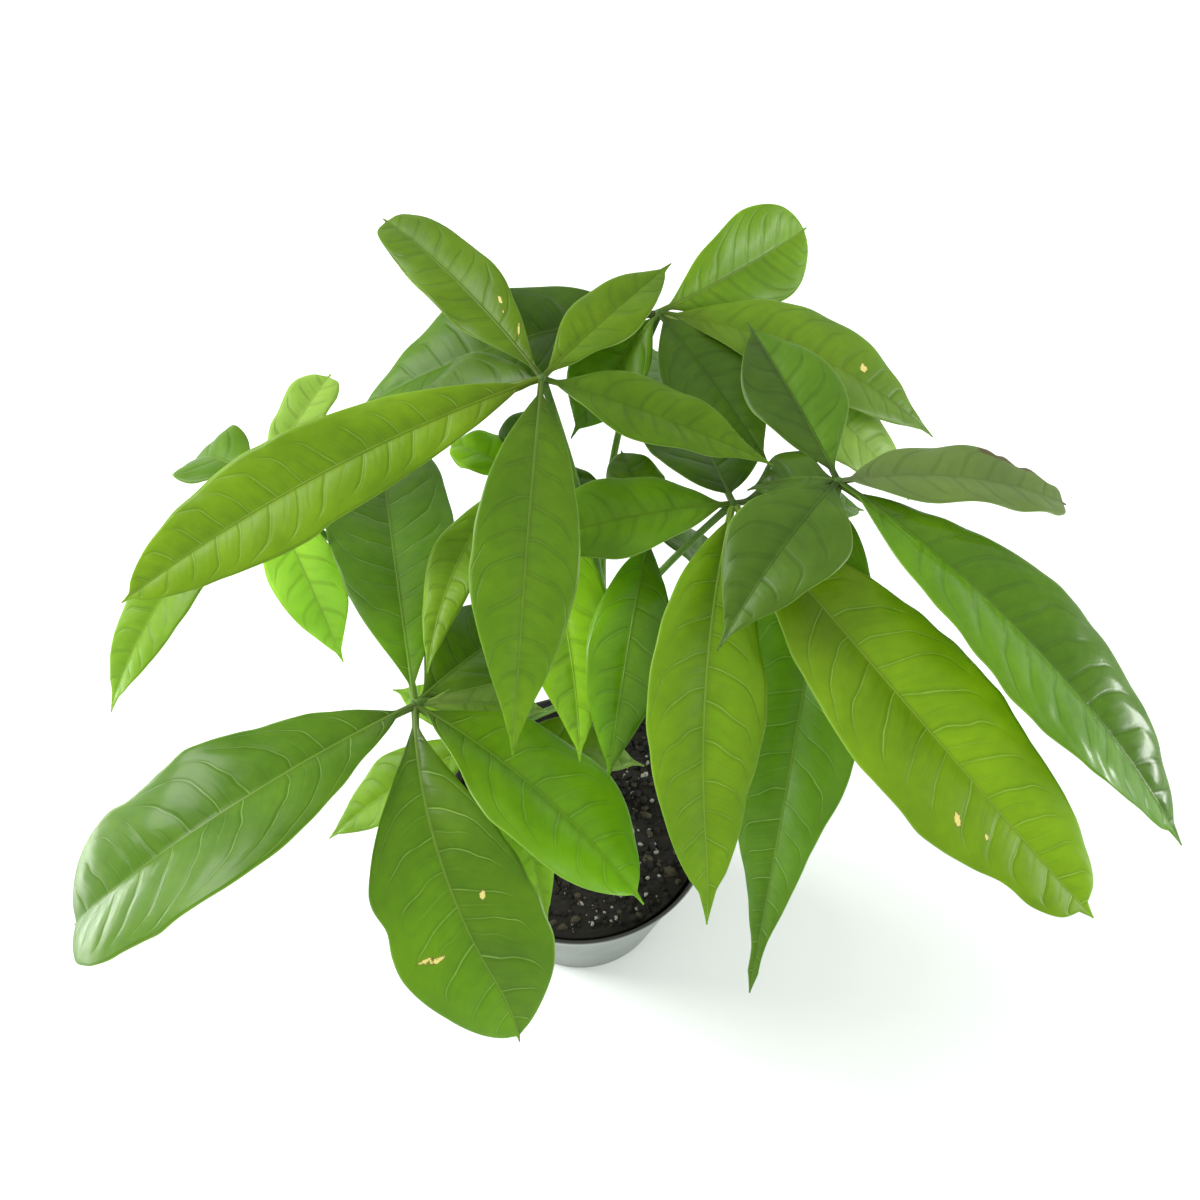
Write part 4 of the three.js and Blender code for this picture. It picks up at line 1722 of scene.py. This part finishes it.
def plant_leaves() -> list[CompoundLeaf]:
    """The nine leaves, with the frame's own sizes in mm.

    Returns:
        The leaves, in the frame's order.
    """
    return [
        CompoundLeaf("leaf_top", hub=(-11, 74, 290), height=190, bow=(1, 4, 0), leaflets=[
            Leaflet(
                (-73, 158, 283), 26, Tone.BRIGHT, turn=20, lean=14, roll=10, widest=0.47, base=1,
                apex=0.3, tail=3, shade=0.1, veined=0.1, quilt=0.15, rib=-0.08,
                marks=(Mark(0.55, 0.33, 6, 0.5, 15), Mark(0.66, 0.2, 3.5, 0.45, 22)),
            ),
            Leaflet(
                (35, 130, 288), 25, Tone.BRIGHT, turn=10, base=1, apex=0.8, shade=0.06, veined=0.1,
                quilt=0.15, rib=-0.05,
            ),
            Leaflet(
                (-163, 20, 230), 36, Tone.SUNLIT, turn=22, lean=15, roll=32, widest=0.58, base=0.75,
                apex=0.6, shade=-0.06, fade=-0.1, veined=0.6, rib=-0.05,
            ),
            Leaflet(
                (-20, -45, 238), 36, Tone.OLIVE, turn=28, roll=12, base=0.8, apex=1, tail=6, shade=-0.13,
                fade=-0.35, veined=0.15, quilt=0.15, rib=0.12, gloss=0.3,
            ),
            Leaflet(
                (69, 50, 272), 28, Tone.OLIVE, turn=15, widest=0.45, base=1, apex=1, veined=0.05,
                quilt=0.2, rib=-0.05,
            ),
            Leaflet((-71, 85, 246), 36, Tone.FRESH, turn=20, base=0.8, shade=0.22, veined=0.05, quilt=0.15),
        ]),
        CompoundLeaf("leaf_left", hub=(-120, 75, 228), height=176, bow=(0, -4, -22), leaflets=[
            Leaflet(
                (-98, 127, 230), 20, Tone.PALE, turn=15, widest=0.7, base=0.8, apex=0.3, tail=2,
                shade=-0.11, veined=0.1,
            ),
            Leaflet((-155, 100, 204), 32, Tone.FRESH, turn=80, widest=0.55, veined=0.1),
            Leaflet((-183, 10, 165), 30, Tone.GLOWING, turn=50, tail=9, shade=0.24, fade=-0.3, veined=0.2),
            Leaflet((-91, 24, 180), 27, Tone.PALE, shade=-0.6, veined=0.2, quilt=0.2),
        ]),
        CompoundLeaf("leaf_front", hub=(-56, -17, 222), height=165, bow=(0, 0, 6), leaflets=[
            Leaflet(
                (-175, -83, 182), 58, Tone.DEEP, turn=80, lean=-18, roll=-11, widest=0.56, base=0.85,
                apex=0.25, tail=2, shade=-0.08, rib=0.15, gloss=0.35,
            ),
            Leaflet(
                (-14, -116, 166), 55, Tone.FRESH, turn=70, lean=35, roll=-11, widest=0.62, apex=0.65,
                tail=3, hook=6, shade=-0.05, fade=-0.2, painted_half_shade=-0.12, veined=0.7, rib=0.2, gloss=0.4,
                marks=(Mark(0.55, 0.66, 5.5, 1.1, -80), Mark(-0.37, 0.56, 2.2, 1.1, 20)),
                dents=(Dent(1, 0.56, 2.2, 5), Dent(1, 0.47, -1.2, 6)),
            ),
            Leaflet(
                (24, -80, 194), 54, Tone.FRESH, turn=30, lean=-33, roll=24, widest=0.56, base=0.9,
                apex=0.7, shade=-0.22, fade=-0.5, quilt=0.25, gloss=0.4,
            ),
            Leaflet(
                (-84, 128, 191), 50, Tone.DEEP, turn=14, widest=0.65, base=0.95, apex=0.6, shade=-0.1,
                fade=0.55, veined=0.4,
            ),
            Leaflet((-13, 37, 194), 42, Tone.DEEP, turn=30, veined=0.2),
            Leaflet((-11, -4, 192), 18, Tone.PALE, turn=30, roll=-35, veined=0.1),
        ]),
        CompoundLeaf("leaf_back", hub=(31, 121, 272), height=180, bow=(-8, 6, -4), leaflets=[
            Leaflet(
                (90, 171, 266), 38, Tone.HAZY, turn=15, lean=60, roll=-45, widest=0.62, base=1, apex=0.5,
                tail=2, shade=-0.1, veined=0.05, vein_gap=4.5, quilt=0.2, rib=-0.05,
            ),
            Leaflet(
                (138, 97, 228), 38, Tone.HAZY, turn=50, base=0.9, tail=7, veined=0.05, quilt=0.15,
                rib=-0.05, marks=(Mark(-0.28, 0.66, 2, 1.6),),
            ),
            Leaflet((69, 62, 258), 36, Tone.DUSK, turn=12, base=0.9, shade=-0.18, veined=0.05, rib=-0.05),
            Leaflet((-2, 90, 236), 34, Tone.FRESH, turn=30, shade=-0.1, veined=0.1),
            Leaflet((-85, 105, 234), 50, Tone.DEEP, turn=36, base=0.9, shade=0.06, fade=-0.45, veined=0.1),
            Leaflet((130, 80, 210), 36, Tone.PALE, turn=50, widest=0.55, apex=0.7, veined=0.1),
        ]),
        CompoundLeaf("leaf_right", hub=(92, 47, 267), height=170, bow=(0, -6, 10), leaflets=[
            Leaflet(
                (63, 112, 276), 36, Tone.DUSK, turn=15, apex=0.8, shade=-0.18, painted_half_shade=-0.3, veined=0.05,
                quilt=0.45, rib=-0.05,
            ),
            Leaflet(
                (176, 49, 250), 26, Tone.GREY, turn=48, roll=5, widest=0.4, base=0.7, apex=0.25, tail=2,
                shade=0.14, veined=0.05, quilt=0.15, rib=-0.05, scorch=0.9,
                dents=(Dent(-1, 0.66, 1.2, 2), Dent(-1, 0.76, 2.2, 3), Dent(-1, 0.9, 3.2, 4)),
            ),
            Leaflet(
                (213, -59, 196), 51, Tone.DEEP, turn=46, roll=12, base=0.82, apex=0.7, tail=9, shade=-0.2,
                painted_half_shade=-0.2, veined=0.1, quilt=0.5, rib=-0.05, gloss=1,
            ),
            Leaflet(
                (66, -89, 124), 52, Tone.DEEP, turn=7, lean=-11, roll=-27, widest=0.32, base=0.5,
                apex=1.3, tail=6, shade=-0.23, fade=0.15, veined=0.6, rib=0.15, gloss=0.4,
            ),
            Leaflet(
                (48, -15, 256), 40, Tone.DUSK, turn=50, widest=0.42, base=1, apex=1.1, tail=6,
                shade=-0.14, veined=0.05, rib=-0.05,
            ),
            Leaflet((61, 48, 260), 22, Tone.DUSK, turn=60, tail=3, shade=-0.08, veined=0.1, gloss=0.8),
        ]),
        CompoundLeaf("leaf_right_low", hub=(56, 44, 258), height=184, bow=(0, 0, 4), leaflets=[
            Leaflet(
                (176, -87, 198), 54, Tone.SUNLIT, turn=29, lean=27, roll=-8, widest=0.52, base=0.9,
                apex=0.45, tail=6, hook=-1, tip_slope=0.42, shade=-0.13, fade=-0.05, painted_half_shade=0.1,
                veined=0.75, rib=0.15,
                marks=(Mark(0.55, 0.69, 3.2, 1.2, 35), Mark(0.46, 0.75, 1.6, 0.8, 20)),
                dents=(Dent(1, 0.83, 2.6, 9), Dent(1, 0.66, -1.6, 8)),
            ),
            Leaflet(
                (49, -83, 185), 43, Tone.BRIGHT, turn=50, lean=28, roll=15, base=0.8, apex=0.8, tail=12,
                hook=3, shade=-0.24, veined=0.6, rib=0.3,
            ),
            Leaflet(
                (-24, 27, 253), 34, Tone.DEEP, turn=25, widest=0.48, base=1, shade=-0.2, veined=0.05,
                quilt=0.2, rib=-0.05,
            ),
            Leaflet((30, 158, 211), 46, Tone.DEEP, turn=8, widest=0.36, base=0.6, veined=0.1),
            Leaflet((111, 72, 214), 24, Tone.DEEP, turn=20, apex=0.7, shade=-0.08, veined=0.1),
        ]),
        CompoundLeaf("leaf_middle", hub=(27, 46, 238), height=195, bow=(0, 0, 2), leaflets=[
            Leaflet(
                (12, -39, 208), 30, Tone.DEEP, turn=45, base=1, shade=-0.34, painted_half_shade=-0.25, veined=0.4,
                gloss=0.8,
            ),
            Leaflet((17, 84, 236), 22, Tone.BRIGHT, apex=0.6, tail=2, veined=0.1),
            Leaflet((60, 55, 198), 24, Tone.DEEP, turn=10, veined=0.1),
        ]),
        CompoundLeaf("leaf_inner", hub=(-21, 73, 235), height=183, bow=(0, 0, 2), leaflets=[
            Leaflet((-51, -10, 232), 20, Tone.HAZY, lean=45, tail=7, shade=-0.15, veined=0.1),
            Leaflet((-49, 92, 230), 20, Tone.BRIGHT, apex=0.6, tail=2, shade=-0.52, veined=0.1),
            Leaflet((-15, 112, 231), 22, Tone.FRESH, turn=30, veined=0.1),
            Leaflet((9, 80, 222), 14, Tone.DEEP, turn=20, apex=0.6, tail=2, veined=0.1),
            Leaflet((2, -35, 213), 34, Tone.GLOWING, turn=30, lean=-40, shade=-0.1, veined=0.3, gloss=0.8),
        ]),
        CompoundLeaf("leaf_low", hub=(-28, -10, 185), height=152, bow=(0, 0, 4), leaflets=[
            Leaflet((-95, -37, 150), 26, Tone.GLOWING, shade=0.22, veined=0.3),
            Leaflet((-11, -66, 140), 20, Tone.GLOWING, veined=0.3),
            Leaflet((26, -11, 160), 22, Tone.BRIGHT, turn=30, veined=0.2),
            Leaflet((-72, 16, 172), 20, Tone.GLOWING, turn=30, veined=0.1),
        ]),
    ]


def main() -> None:
    """Loads the frame and builds every piece in order, logging each one."""
    logging.basicConfig(level=logging.INFO, format="%(name)s: %(message)s")
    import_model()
    mottle, vein = mottle_effect(), vein_effect()
    blade = BladeFinish(vein, mottle).material()
    stem = StemFinish("green_stem", mottle, tint(104, 146, 44), tint(56, 84, 22)).material()
    bark = StemFinish("bark", mottle, tint(88, 112, 50), tint(84, 88, 54), 0.7, 0.0005).material()
    Studio().build()
    pot = Pot()
    pot.build(PotFinish(mottle).material())
    LOG.info("pot: built")
    soil = SoilBed(pot).build(SoilFinish(mottle).material())
    LOG.info("soil: %d faces", len(soil.data.polygons))
    MoneyTree(leaves=plant_leaves()).build(blade, stem, bark)


if __name__ == "__main__":
    main()
